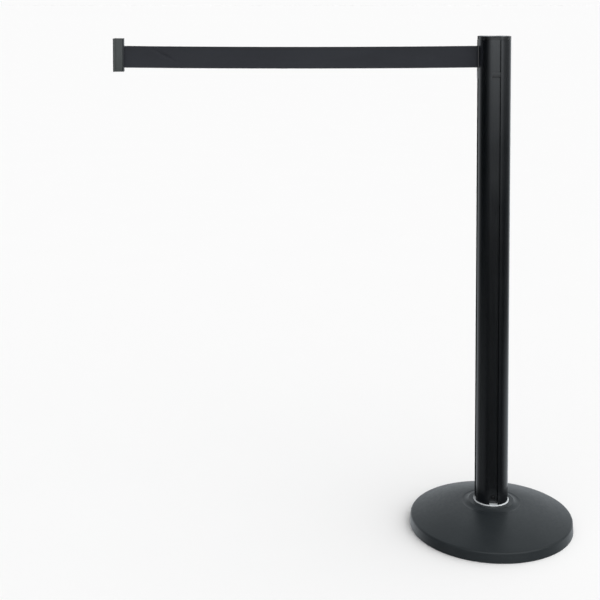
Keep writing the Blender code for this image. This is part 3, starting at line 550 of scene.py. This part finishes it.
def dome_profile(inset):
    """The cover's section from the rim's foot up to the hub's edge, inset under the outer skin."""
    low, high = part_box("base_cover")
    centre = (high.x - RIM_LEAN - RIM_ROUND, RIM_STRAIGHT_Z)
    rim = [(high.x - inset, low.z)]
    rim += arc(centre, RIM_ROUND - inset, 0, math.pi / 2 - DOME_SLOPE, 16)
    lean = (math.sin(DOME_SLOPE), math.cos(DOME_SLOPE))
    on_dome = (centre[0] + RIM_ROUND * lean[0], centre[1] + RIM_ROUND * lean[1])
    under = on_dome[1] + (on_dome[0] - HUB_FILLET_RADIUS) * math.tan(DOME_SLOPE)
    middle = (HUB_FILLET_RADIUS, under + HUB_FILLET / lean[1])
    start = DOME_SLOPE - math.pi / 2
    end = -math.pi / 2 - math.acos((middle[1] - high.z + inset) / (HUB_FILLET + inset))
    return rim + arc(middle, HUB_FILLET + inset, start, end, 20)


def base_cover(materials):
    hub_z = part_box("base_cover")[1].z
    outer, inner = dome_profile(0), dome_profile(SHEET)
    edge_centre = (HUB_HOLE_RADIUS + HUB_EDGE_ROUND, hub_z - HUB_EDGE_ROUND)
    edge = arc(edge_centre, HUB_EDGE_ROUND, math.pi / 2, math.pi, 5)
    outline = outer + edge + [(HUB_HOLE_RADIUS, hub_z - SHEET)] + inner[::-1]
    cover = turned("base_cover_skin", outline)
    place(cover, "post", materials["painted_steel"], "painted_steel", "base_cover")


def floor_pad(materials):
    low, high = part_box("floor_pad")
    outline = [(PAD_HOLE_RADIUS, low.z)]
    outline += rounded_rim(high.x, low.z, high.z, PAD_EDGE_ROUND)
    outline += [(PAD_HOLE_RADIUS, high.z)]
    place(turned("floor_pad_skin", outline), "post", materials["rubber"], "rubber", "floor_pad")


def rounded_rim(radius, low, high, edge):
    """A disc's rim, from its lower face to its upper one."""
    lower = arc((radius - edge, low + edge), edge, -math.pi / 2, 0, 4)
    return lower + arc((radius - edge, high - edge), edge, 0, math.pi / 2, 4)


def foot_ring(materials):
    """The bare flange that shows as a bright ring between the post and the hub."""
    low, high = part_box("foot_flange")
    flange_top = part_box("post_extrusion")[0].z - GAP
    outline = [(FLANGE_BORE, low.z)]
    outline += rounded_rim(high.x, low.z, flange_top, FLANGE_EDGE_ROUND)
    outline += [
        (FLANGE_SPIGOT, flange_top),
        (FLANGE_SPIGOT, high.z - FLANGE_SPIGOT_CHAMFER),
        (FLANGE_SPIGOT - FLANGE_SPIGOT_CHAMFER, high.z),
        (0, high.z),
        (0, high.z - FLANGE_SPIGOT_ROOF),
        (FLANGE_BORE, high.z - FLANGE_SPIGOT_ROOF),
    ]
    ring = turned("foot_ring", outline)
    place(ring, "post", materials["bare_casting"], "bare_casting", "foot_flange")


# Post


def groove_section(angle, pairs):
    """Rotates (distance from the axis, offset across the groove) pairs to the groove's angle."""
    c, s = math.cos(angle), math.sin(angle)
    return [(u * c - v * s, u * s + v * c) for u, v in pairs]


def grooved_outline():
    """The post's round outline, with a T-slot on each of its four sides."""
    edge = math.asin(GROOVE_HALF_OPENING / POST_RADIUS)
    half_slot = [
        (GROOVE_LIP, -GROOVE_HALF_OPENING),
        (GROOVE_LIP, -GROOVE_HALF_WIDTH),
        (GROOVE_FLOOR, -GROOVE_HALF_WIDTH),
    ]
    slot = half_slot + [(distance, -across) for distance, across in reversed(half_slot)]
    points = []
    for side in range(4):
        start = side * math.pi / 2
        points += arc((0, 0), POST_RADIUS, start + edge, start + math.pi / 2 - edge, POST_ARC_STEPS)
        points += groove_section(start + math.pi / 2, slot)
    return points


def chamber_outline(quarter):
    """The hollow in the corner between two grooves."""
    near = math.asin(CHAMBER_SIDE / CHAMBER_INNER)
    far = math.asin(CHAMBER_SIDE / CHAMBER_OUTER)
    middle = quarter * math.pi / 2
    inner = arc((0, 0), CHAMBER_INNER, middle + math.pi / 2 - near, middle + near, 8)
    outer = arc((0, 0), CHAMBER_OUTER, middle + far, middle + math.pi / 2 - far, 12)
    return inner + outer


def post_tube(materials):
    """The extrusion, with rounded lips and a window that lets the belt out of the core."""
    low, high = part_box("post_extrusion")
    outlines = [rounded(grooved_outline(), LIP_ROUND)]
    outlines.append(arc((0, 0), CORE_RADIUS, 0, math.tau, BORE_STEPS)[:-1])
    outlines += [rounded(chamber_outline(quarter), CHAMBER_ROUND) for quarter in range(4)]
    post = prism("post_tube", outlines, low.z, high.z)
    window_low = (-WINDOW_FAR, -WINDOW_HALF_WIDTH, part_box("belt")[0].z - WINDOW_DROP)
    window_high = (-WINDOW_NEAR, WINDOW_HALF_WIDTH, high.z + BEYOND)
    boolean(post, block("window", window_low, window_high))
    post.data.shade_smooth()
    post.data.set_sharp_from_angle(angle=math.radians(SHARP_TURN))
    place(post, "post", materials["black_anodised"], "black_anodised", "post_extrusion")


# Cap and screws


def top_cap(materials):
    """The moulded cap: notches for a clip's tongue, sloped lead-ins, a round edge and a countersink."""
    low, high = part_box("top_cap")
    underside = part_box("post_extrusion")[1].z + GAP
    cap = prism("top_cap_skin", [grooved_outline()], underside, high.z)
    inside = underside + CAP_SPIGOT_ROOT
    spigot = turned("spigot", tube_outline(CAP_SPIGOT_INNER, CAP_SPIGOT_OUTER, low.z, inside))
    boolean(cap, spigot, "UNION")
    boolean(cap, turned("boss", tube_outline(0, CAP_BOSS_RADIUS, low.z, inside)), "UNION")
    boolean(cap, turned("round_edge", cap_edge_outline(high.z)))
    for side in range(4):
        boolean(cap, lead_in(side, high.z))
    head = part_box("cap_screw")[1].x
    sink = countersink_outline(head, low.z - BEYOND, high.z - SCREW_ROOM, high.z + BEYOND)
    boolean(cap, turned("countersink", sink, SCREW_STEPS))
    soften(cap, FINE_EDGE, segments=2, angle=FACET_TURN)
    place(cap, "post", materials["black_plastic"], "black_plastic", "top_cap")


def tube_outline(inner, outer, low, high):
    return [(inner, low), (outer, low), (outer, high), (inner, high)]


def cap_edge_outline(top):
    """What the rounding takes off the cap's upper edge."""
    centre = (POST_RADIUS - CAP_EDGE_ROUND, top - CAP_EDGE_ROUND)
    outside, above = POST_RADIUS + BEYOND, top + BEYOND
    curve = arc(centre, CAP_EDGE_ROUND, math.pi / 2, 0, 7)
    return [(curve[0][0], above)] + curve + [(outside, curve[-1][1]), (outside, above)]


def countersink_outline(head, bottom, rim_z, top):
    """The cutter for a countersunk screw's hole, whose cone ends in a rim at a height (rim_z)."""
    shank, rim = screw_hole_radius(head), head + SCREW_ROOM
    cone = [(shank, rim_z - (rim - shank)), (rim, rim_z)]
    return [(0, bottom), (shank, bottom)] + cone + [(rim, top), (0, top)]


def screw_hole_radius(head):
    return SHANK_SHARE * head + SCREW_ROOM


def lead_in(side, top):
    """The wedge that slopes the inner end of a notch in the cap."""
    bm = bmesh.new()
    angle = side * math.pi / 2
    far, above = GROOVE_FLOOR + LEAD_IN_OVERLAP, top + BEYOND
    slope = [(far, top - LEAD_IN_DEPTH), (far, above), (LEAD_IN_INNER, above), (LEAD_IN_INNER, top)]
    rings = []
    for across in (-GROOVE_HALF_WIDTH, GROOVE_HALF_WIDTH):
        flat = groove_section(angle, [(distance, across) for distance, _ in slope])
        rings.append([bm.verts.new((x, y, z)) for (x, y), (_, z) in zip(flat, slope)])
        bm.faces.new(rings[-1])
    for i in range(len(slope)):
        j = (i + 1) % len(slope)
        bm.faces.new((rings[0][i], rings[0][j], rings[1][j], rings[1][i]))
    return mesh_object(f"lead_in_{side}", bm)


def cross_cutter(reach, depth, top):
    """A generic cross recess: four tapering arms."""
    wing = CROSS_ARM * reach
    outline = []
    for quarter in range(4):
        outline += groove_section(quarter * math.pi / 2, [(wing, -wing), (reach, -wing), (reach, wing)])
    cutter = prism("cross", [outline], top - depth, top + CROSS_OVERLAP)
    for vertex in cutter.data.vertices:
        if vertex.co.z < top:
            vertex.co.x *= CROSS_TAPER
            vertex.co.y *= CROSS_TAPER
    return cutter


def sunk_screw(name, node, body, where, direction, length, head, materials):
    """A countersunk screw whose head's top is at a place, facing a direction."""
    shank = SHANK_SHARE * head
    outline = [(0, -length), (SCREW_TIP_SHARE * shank, -length), (shank, SCREW_TIP_LENGTH - length)]
    outline += [(shank, -SUNK_HEAD_RIM - (head - shank)), (head, -SUNK_HEAD_RIM)]
    outline += [(head, -SUNK_HEAD_EDGE), (head - SUNK_HEAD_EDGE, 0), (0, SUNK_HEAD_CROWN)]
    screw = turned(name, outline, SCREW_STEPS)
    boolean(screw, cross_cutter(SUNK_CROSS_REACH * head, SUNK_CROSS_DEPTH, 0))
    point_along(screw, where, direction)
    place(screw, body, materials["blackened_steel"], "blackened_steel", node)


def cap_screw(materials):
    low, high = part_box("cap_screw")
    where = (0, 0, high.z)
    sunk_screw("cap_screw_skin", "cap_screw", "post", where, (0, 0, 1), high.z - low.z, high.x, materials)


def clip_screws(materials):
    for node in CLIP_SCREWS:
        low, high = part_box(node)
        where = (high.x, 0, (low.z + high.z) / 2)
        head = (high.z - low.z) / 2
        sunk_screw(f"{node}_skin", node, "clip", where, (1, 0, 0), high.x - low.x, head, materials)


def groove_screws(materials):
    """Pan-head screws: one in each groove's foot, and one that keeps the cassette in the post."""
    for side, angle in SIDE_ANGLES.items():
        groove_screw(f"foot_screw_{side}", angle, materials)
    groove_screw("cassette_screw", SIDE_ANGLES["right"], materials)


def groove_screw(node, angle, materials):
    low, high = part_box(node)
    outward = Vector((round(math.cos(angle)), round(math.sin(angle)), 0))
    tip, top = sorted((low.dot(outward), high.dot(outward)))
    head = (high.z - low.z) / 2
    shank, length = SHANK_SHARE * head, top - tip
    seat = length - PAN_HEAD_RISE
    outline = [(0, 0), (SCREW_TIP_SHARE * shank, 0), (shank, SCREW_TIP_LENGTH), (shank, seat)]
    outline += [(head - PAN_HEAD_EDGE, seat), (head, seat + PAN_HEAD_EDGE)]
    for step in range(9):
        turn = step * math.pi / 16
        rise = PAN_HEAD_RISE * (PAN_HEAD_WALL + (1 - PAN_HEAD_WALL) * math.sin(turn))
        outline.append((head * math.cos(turn), seat + rise))
    screw = turned(f"{node}_skin", outline, SCREW_STEPS)
    boolean(screw, cross_cutter(PAN_CROSS_REACH * head, PAN_CROSS_DEPTH, length))
    height = Vector((0, 0, (low.z + high.z) / 2))
    point_along(screw, tip * outward + height, outward)
    place(screw, "post", materials["blackened_steel"], "blackened_steel", node)


def groove_stops(materials):
    near, far = GROOVE_FLOOR + GAP, GROOVE_LIP - GAP
    half = GROOVE_HALF_WIDTH - GAP
    for side in ("right", "rear", "front"):
        node = f"groove_stop_{side}"
        low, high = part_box(node)
        section = [(near, -half), (far, -half), (far, half), (near, half)]
        outline = groove_section(SIDE_ANGLES[side], section)
        stop = prism(f"{node}_skin", [outline], low.z, high.z)
        soften(stop, MOULDED_EDGE, segments=4)
        place(stop, "post", materials["black_plastic"], "black_plastic", node)


# Outlet and clip


def outlet_bezel(materials):
    """The insert in the belt's groove, with the pocket where the clip parks."""
    low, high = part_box("outlet_bezel")
    clip_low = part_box("clip_body")[0]
    belt_low, belt_high = (corner.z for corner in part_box("belt"))
    bezel = prism("outlet_bezel_skin", [bezel_outline(-low.x)], low.z, high.z)
    guide_x = (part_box("guide_pin_rear")[0].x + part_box("guide_pin_rear")[1].x) / 2
    for name, middle in (("upper_lug", belt_high + LUG_OFFSET), ("lower_lug", belt_low - LUG_OFFSET)):
        lug_low = (guide_x - LUG_FAR, -LUG_HALF_WIDTH, middle - LUG_HALF_HEIGHT)
        lug_high = (guide_x + LUG_NEAR, LUG_HALF_WIDTH, middle + LUG_HALF_HEIGHT)
        boolean(bezel, block(name, lug_low, lug_high), "UNION")
    pocket_low = (low.x - POCKET_CUTTER, -BEZEL_POCKET_HALF_WIDTH, clip_low.z - GAP)
    pocket_high = (-BEZEL_FLOOR, BEZEL_POCKET_HALF_WIDTH, high.z + BEYOND)
    boolean(bezel, block("pocket", pocket_low, pocket_high))
    boolean(bezel, belt_slot(-BEZEL_FLOOR - SLOT_FAR_CUTTER, -GROOVE_FLOOR + SLOT_NEAR_CUTTER))
    for node in ("guide_pin_front", "guide_pin_rear"):
        boolean(bezel, pin_socket(node))
    soften(bezel, BEZEL_EDGE, segments=3, angle=FACET_TURN)
    place(bezel, "post", materials["grey_plastic"], "grey_plastic", "outlet_bezel")


def belt_slot(low_x, high_x):
    """The cutter for a slot that the belt passes through."""
    belt_low, belt_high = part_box("belt")
    low = (low_x, -BELT_SLOT_HALF_WIDTH, belt_low.z - BELT_SLOT_ROOM)
    high = (high_x, BELT_SLOT_HALF_WIDTH, belt_high.z + BELT_SLOT_ROOM)
    return block("slot", low, high)


def bezel_outline(face):
    half_neck = GROOVE_HALF_OPENING - GAP
    half_head = GROOVE_HALF_WIDTH - GAP
    inner, lip = GROOVE_FLOOR + GAP, GROOVE_LIP - GAP
    edge = math.asin(half_neck / face)
    section = [(inner, -half_head), (lip, -half_head), (lip, -half_neck)]
    section += arc((0, 0), face, -edge, edge, 12)
    section += [(lip, half_neck), (lip, half_head), (inner, half_head)]
    return groove_section(math.pi, section)


def pin_socket(node):
    low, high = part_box(node)
    radius = (high.x - low.x) / 2 + GAP
    outline = tube_outline(0, radius, low.z - PIN_SOCKET_DEPTH, high.z + PIN_SOCKET_DEPTH)
    socket = turned("socket", outline, SCREW_STEPS)
    point_along(socket, ((low.x + high.x) / 2, (low.y + high.y) / 2, 0), (0, 0, 1))
    return socket


def clip_body(materials):
    """The bar at the belt's end, with the T-shaped tongue that drops into a groove."""
    low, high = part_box("clip_body")
    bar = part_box("clip_cover")[0].x - GAP - clip_face_x()
    neck_x = high.x - bar - TONGUE_NECK
    half = CLIP_HALF_WIDTH
    upper = [(high.x, half), (neck_x, half), (neck_x, high.y), (low.x, high.y)]
    lower = [(x, -y) for x, y in reversed(upper)]
    clip = prism("clip_body_skin", [upper + lower], low.z, high.z)
    belt_low, belt_high = (corner.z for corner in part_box("belt"))
    pin_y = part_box("belt_end_pin")[1].y
    cavity_low = (clip_face_x() + CLIP_CAVITY_NEAR, -CLIP_CAVITY_ROOM, belt_low - BELT_SLOT_ROOM)
    cavity_high = (high.x + CAVITY_CUTTER, pin_y + CLIP_CAVITY_ROOM, belt_high + BELT_SLOT_ROOM)
    boolean(clip, block("cavity", cavity_low, cavity_high))
    for node in CLIP_SCREWS:
        screw_low, screw_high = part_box(node)
        radius = screw_hole_radius((screw_high.z - screw_low.z) / 2)
        hole = turned("hole", tube_outline(0, radius, 0, 2 * BEYOND), SCREW_STEPS)
        bottom_x = screw_low.x - CLIP_SCREW_HOLE_DEPTH
        point_along(hole, (bottom_x, 0, (screw_low.z + screw_high.z) / 2), (1, 0, 0))
        boolean(clip, hole)
    soften(clip, MOULDED_EDGE, segments=4)
    place(clip, "clip", materials["clip_plastic"], "black_plastic", "clip_body")


def clip_face_x():
    """Where the clip's bar meets the post that it docks on."""
    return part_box("clip_cover")[1].x - CLIP_BAR


def clip_cover(materials):
    low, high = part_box("clip_cover")
    half, edge = CLIP_HALF_WIDTH, CLIP_COVER_ROUND
    outline = [(low.x, -half), (high.x - edge, -half)]
    outline += arc((high.x - edge, edge - half), edge, -math.pi / 2, 0, 5)
    outline += arc((high.x - edge, half - edge), edge, 0, math.pi / 2, 5)
    outline += [(low.x, half)]
    cover = prism("clip_cover_skin", [outline], low.z, high.z)
    boolean(cover, belt_slot(low.x - COVER_CUTTER, high.x + COVER_CUTTER))
    for node in CLIP_SCREWS:
        screw_low, screw_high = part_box(node)
        head = (screw_high.z - screw_low.z) / 2
        sink = countersink_outline(head, -COVER_SINK_CUTTER, 0, COVER_CUTTER)
        hole = turned("sink", sink, SCREW_STEPS)
        point_along(hole, (high.x, 0, (screw_low.z + screw_high.z) / 2), (1, 0, 0))
        boolean(cover, hole)
    soften(cover, FINE_EDGE, segments=2, angle=FACET_TURN)
    place(cover, "clip", materials["cover_plastic"], "black_plastic", "clip_cover")


# Belt


def belt_route():
    """The belt's line from above: round the clip's pin, straight to the guide pins, then to the roll."""
    pin_low, pin_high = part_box("belt_end_pin")
    pin = (pin_low + pin_high) / 2
    bend = (pin_high.x - pin_low.x) / 2 + GAP + BELT_THICKNESS / 2
    guide_low, guide_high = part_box("guide_pin_rear")
    guide = (guide_low + guide_high) / 2
    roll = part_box("belt_coil")[1].x + GAP + BELT_THICKNESS / 2
    lean = math.asin((guide.y + roll) / math.hypot(guide.x, guide.y)) + math.atan2(-guide.y, -guide.x)
    route = arc((pin.x, pin.y), bend, HOOK_END, 1.5 * math.pi, 36)
    for i in range(1, BELT_STEPS):
        route.append((pin.x + (guide.x - pin.x) * i / BELT_STEPS, pin.y - bend))
    route += arc((guide.x, guide.y), guide.y, -math.pi / 2, lean - math.pi / 2, 10)
    return route + [(-roll * math.sin(lean), roll * math.cos(lean))]


def webbing_section(low, high, edge_half, middle_half, middle_rows):
    """(offset, height) points round the webbing's section, with a thicker bead along each edge."""
    turns = (0.0, 0.4, 0.8, 1.2, math.pi / 2)
    bead = [(edge_half * math.sin(t), edge_half * (1 - math.cos(t))) for t in turns]
    bead += [(edge_half, SELVEDGE_WIDTH), (middle_half, SELVEDGE_WIDTH + SELVEDGE_BLEND)]
    inner = bead[-1][1]
    rows = [(half, low + inset) for half, inset in bead]
    for row in range(1, middle_rows):
        rows.append((middle_half, low + inner + (high - low - 2 * inner) * row / middle_rows))
    rows += [(half, high - inset) for half, inset in reversed(bead)]
    return rows + [(-half, height) for half, height in rows[-2:0:-1]]


def ribbon(name, route, section, shift):
    """A closed band: the section swept along a route, with each point then moved by shift."""
    bm = bmesh.new()
    rings = []
    last = len(route) - 1
    for i, (x, y) in enumerate(route):
        along = (Vector(route[min(i + 1, last)]) - Vector(route[max(i - 1, 0)])).normalized()
        ring = []
        for offset, height in section:
            point = Vector((x + along.y * offset, y - along.x * offset, height))
            ring.append(bm.verts.new(point + shift(point)))
        rings.append(ring)
    count = len(section)
    for first, second in zip(rings, rings[1:]):
        for j in range(count):
            k = (j + 1) % count
            bm.faces.new((first[j], first[k], second[k], second[j]))
    bm.faces.new(rings[0][::-1])
    bm.faces.new(rings[-1])
    return mesh_object(name, bm, SELVEDGE_SHARP_TURN)


def belt_webbing(materials):
    """The drawn belt: it sags a little and ripples, with a soft crease near the clip."""
    low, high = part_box("belt")
    start_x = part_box("clip_cover")[1].x
    end_x = -BEZEL_FLOOR - 2 * GAP
    section = webbing_section(low.z, high.z, SELVEDGE_HALF_THICKNESS, WEB_HALF_THICKNESS, BELT_ROWS)

    def shift(point):
        share = (point.x - start_x) / (end_x - start_x)
        if not 0 < share < 1:
            return Vector((0, 0, 0))
        free = math.sin(math.pi * share)
        # Broad ripples are about 11 cm long, fine ones 3 cm.
        broad = noise.noise((9 * point.x, 0, 14 * point.z))
        fine = noise.noise((31 * point.x, 4, 30 * point.z))
        wave = BROAD_RIPPLE * broad + FINE_RIPPLE * fine
        crease = belt_crease(point.x - start_x, high.z - point.z)
        return Vector((0, min(1, 3 * free) * wave + crease, -BELT_SAG * 4 * share * (1 - share)))

    belt = ribbon("belt_webbing", belt_route(), section, shift)
    belt.data.materials.append(materials["webbing"])
    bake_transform(belt, "clip", "post", (start_x, 0, low.z), (end_x, 0, low.z))
    spread_evenly(belt, start_x, end_x)
    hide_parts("belt")


def belt_crease(out, down):
    """How far a point stands behind the belt's plane because of a slanting crease near the clip."""
    line = CREASE_END - CREASE_START
    here = Vector((out, down)) - CREASE_START
    share = here.dot(line) / line.length_squared
    side = (here.x * line.y - here.y * line.x) / line.length
    if not -CREASE_FADE < share < 1 + CREASE_FADE:
        return 0.0
    fade = math.sin(math.pi * (share + CREASE_FADE) / (1 + 2 * CREASE_FADE)) ** 0.6
    return CREASE_DEPTH * fade * math.exp(-((side / CREASE_WIDTH) ** 2))


def spread_evenly(belt, start_x, end_x):
    """Lets each point follow the clip in proportion to its distance from the post."""
    weights = belt.data.attributes["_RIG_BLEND"].data
    for vertex, weight in zip(belt.data.vertices, weights):
        weight.value = min(1.0, max(0.0, (vertex.co.x - start_x) / (end_x - start_x)))


def belt_roll(materials):
    """The wound belt on the spool, one long spiral."""
    low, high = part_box("belt_coil")
    hub = SPOOL_HUB_RADIUS + BELT_THICKNESS / 2 + GAP / 2
    outer = high.x - BELT_THICKNESS / 2
    turns = (outer - hub) / BELT_THICKNESS
    steps = int(turns * ROLL_STEPS)
    route = []
    for i in range(steps + 1):
        radius, angle = hub + (outer - hub) * i / steps, math.tau * turns * i / steps
        route.append((radius * math.cos(angle), radius * math.sin(angle)))
    section = webbing_section(low.z, high.z, WEB_HALF_THICKNESS, WEB_HALF_THICKNESS, 2)
    roll = ribbon("belt_roll", route, section, lambda point: Vector((0, 0, 0)))
    place(roll, "spool", materials["webbing"], "webbing", "belt_coil")


# Studio


FLOOR_TONE = 0.93
FLOOR_MOTTLE = 0.004
FLOOR_DROP = 0.0002  # below the pad
FLOOR_HALF_SIZE = 400
STUDIO_LIGHT = 1.04
KEY_AZIMUTH = math.radians(335)
KEY_SHARE = 0.9
REFLECTION_TINT = (0.95, 1.01, 1.06)

# Azimuth, and the angles from it within which a thing is full and past which it is gone, in degrees
LEFT_FLAG = (192, 12, 56)
RIGHT_FLAG = (2, 14, 48)
FRONT = (262, 70, 122)
OFF_LEFT = (185, 5, 45)

# Changes to the backdrop's light, as shares of itself
OVERHEAD_CHANGE = -0.70
LEFT_FLAG_CHANGE = -1.0
FRONT_HORIZON_CHANGE = 0.40
FRONT_BELOW_CHANGE = -0.93
OFF_LEFT_CHANGE = -0.75  # of the change below


def lay_floor():
    bm = bmesh.new()
    bmesh.ops.create_grid(bm, x_segments=1, y_segments=1, size=FLOOR_HALF_SIZE)
    floor = mesh_object("floor", bm)
    floor.location.z = -FLOOR_DROP
    made, tree = new_material("pale_floor")
    tint = noise_at(tree, object_place(tree), 3, 2)
    darker, lighter = FLOOR_TONE - FLOOR_MOTTLE, FLOOR_TONE + FLOOR_MOTTLE
    colour = mix_colours(tree, tint, (darker, darker, darker), (lighter, lighter, lighter))
    floor.data.materials.append(finish_surface(made, colour, 1.0, 0.0, None, {"Specular IOR Level": 0.0}))
    floor.visible_glossy = False


def towards(tree, flat, azimuth, full, none):
    """1 for directions within an angle (full) of an azimuth, falling smoothly to 0 at another (none)."""
    compass = (math.cos(math.radians(azimuth)), math.sin(math.radians(azimuth)), 0)
    lined_up = add_node(tree, "ShaderNodeVectorMath", {0: flat, 1: compass}, operation="DOT_PRODUCT")
    wide, narrow = math.cos(math.radians(none)), math.cos(math.radians(full))
    return remap(tree, lined_up.outputs["Value"], wide, narrow, 0, 1, smooth=True)


def changed(tree, light, share, *masks):
    """A light made brighter, or dimmer, by a share of itself where all of the masks are 1."""
    for mask in masks:
        share = maths(tree, "MULTIPLY", mask, share)
    return maths(tree, "MULTIPLY", light, maths(tree, "ADD", 1.0, share))


def studio_reflections(tree):
    """What glossy surfaces see: a white backdrop with black flags at its sides, dim above and below."""
    flat, height = ray_direction(tree)
    light = remap(tree, height, 0.10, 0.55, 0.86, 0.40)
    overhead = remap(tree, height, 0.80, 0.97, 0, 1, smooth=True)
    light = changed(tree, light, OVERHEAD_CHANGE, overhead)
    near_level = remap(tree, height, 0.35, 0.75, 1, 0, smooth=True)
    low_left = remap(tree, height, -0.36, -0.20, 0.74, 0.99)
    left = towards(tree, flat, *LEFT_FLAG)
    light = changed(tree, light, LEFT_FLAG_CHANGE, left, near_level, low_left)
    above_floor = remap(tree, height, -0.33, -0.27, 0.4, 1, smooth=True)
    right_flag = remap(tree, height, -0.14, -0.05, -0.88, -0.72)
    right = towards(tree, flat, *RIGHT_FLAG)
    light = changed(tree, light, right_flag, right, near_level, above_floor)
    front = towards(tree, flat, *FRONT)
    at_horizon = remap(tree, height, -0.075, -0.030, 0, 1, smooth=True)
    light = changed(tree, light, FRONT_HORIZON_CHANGE, front, near_level, at_horizon)
    below = remap(tree, height, -0.16, -0.02, 1, 0, smooth=True)
    off_left = changed(tree, 1.0, OFF_LEFT_CHANGE, towards(tree, flat, *OFF_LEFT))
    return changed(tree, light, FRONT_BELOW_CHANGE, front, below, off_left)


def ray_direction(tree):
    """A ray's compass direction as a level unit vector, and its height."""
    direction = add_node(tree, "ShaderNodeTexCoord").outputs["Generated"]
    split = add_node(tree, "ShaderNodeSeparateXYZ", {"Vector": direction}).outputs
    level = add_node(tree, "ShaderNodeCombineXYZ", {"X": split["X"], "Y": split["Y"]}).outputs[0]
    return add_node(tree, "ShaderNodeVectorMath", {0: level}, operation="NORMALIZE").outputs[0], split["Z"]


def studio_light(tree):
    """What lights matt surfaces: a tent that is brighter towards the right and the front."""
    flat, _ = ray_direction(tree)
    compass = (math.cos(KEY_AZIMUTH), math.sin(KEY_AZIMUTH), 0)
    lined_up = add_node(tree, "ShaderNodeVectorMath", {0: flat, 1: compass}, operation="DOT_PRODUCT")
    dimmest, brightest = (1 - KEY_SHARE) * STUDIO_LIGHT, (1 + KEY_SHARE) * STUDIO_LIGHT
    return remap(tree, lined_up.outputs["Value"], -1, 1, dimmest, brightest)


def light_studio():
    """The tent round the object; the camera sees it in the floor's tone, so no horizon shows."""
    world = bpy.data.worlds.new("studio")
    bpy.context.scene.world = world
    world.use_nodes = True
    tree = world.node_tree
    path = add_node(tree, "ShaderNodeLightPath").outputs
    seen = FLOOR_TONE * STUDIO_LIGHT
    light = {0: path["Is Glossy Ray"], 2: studio_light(tree), 3: studio_reflections(tree)}
    glossy = add_node(tree, "ShaderNodeMix", light)
    strength = add_node(tree, "ShaderNodeMix", {0: path["Is Camera Ray"], 2: glossy.outputs[0], 3: seen})
    background = tree.nodes["Background"]
    tint = mix_colours(tree, path["Is Glossy Ray"], (1, 1, 1), REFLECTION_TINT)
    tree.links.new(tint, background.inputs["Color"])
    tree.links.new(strength.outputs[0], background.inputs["Strength"])


# Where the photograph was taken from. Its lens looks straight ahead above the middle of the frame,
# so the frame's middle lies below and left of the lens's axis, by these shares of the frame's width.
CAMERA_PLACE = Vector((-0.3482, -2.1355, 1.0032))
CAMERA_YAW = 0.00813
CAMERA_PITCH = 0.04706
CAMERA_LENS = 68.06
SENSOR = 36.0
FRAME_OFFSET_X = -0.03152
FRAME_OFFSET_Y = -0.40698


def set_camera():
    """A camera with axes sheared by its parent, so that it looks off-axis as a shifted lens does."""
    ahead = Vector((math.sin(CAMERA_YAW), math.cos(CAMERA_YAW), 0))
    right = Vector((ahead.y, -ahead.x, 0))
    forward = math.cos(CAMERA_PITCH) * ahead + Vector((0, 0, -math.sin(CAMERA_PITCH)))
    up = right.cross(forward)
    sensor_share = SENSOR / CAMERA_LENS
    middle = forward + sensor_share * (FRAME_OFFSET_Y * up + FRAME_OFFSET_X * right)
    stretch = middle.length
    axes = Matrix((right, up, -middle / stretch)).transposed().to_4x4()
    axes.translation = CAMERA_PLACE
    rig = bpy.data.objects.new("camera_rig", None)
    data = bpy.data.cameras.new("camera")
    data.sensor_width = SENSOR
    data.lens = CAMERA_LENS * stretch
    camera = bpy.data.objects.new("camera", data)
    for made in (rig, camera):
        bpy.context.scene.collection.objects.link(made)
    camera.parent = rig
    camera.matrix_parent_inverse = axes
    bpy.context.scene.camera = camera


def build():
    materials = make_materials()
    paint_cad_nodes(materials)
    base_cover(materials)
    floor_pad(materials)
    foot_ring(materials)
    post_tube(materials)
    top_cap(materials)
    cap_screw(materials)
    groove_screws(materials)
    groove_stops(materials)
    outlet_bezel(materials)
    clip_body(materials)
    clip_cover(materials)
    clip_screws(materials)
    belt_webbing(materials)
    belt_roll(materials)
    lay_floor()
    light_studio()
    set_camera()


bpy.context.scene.view_settings.view_transform = "Standard"
build()
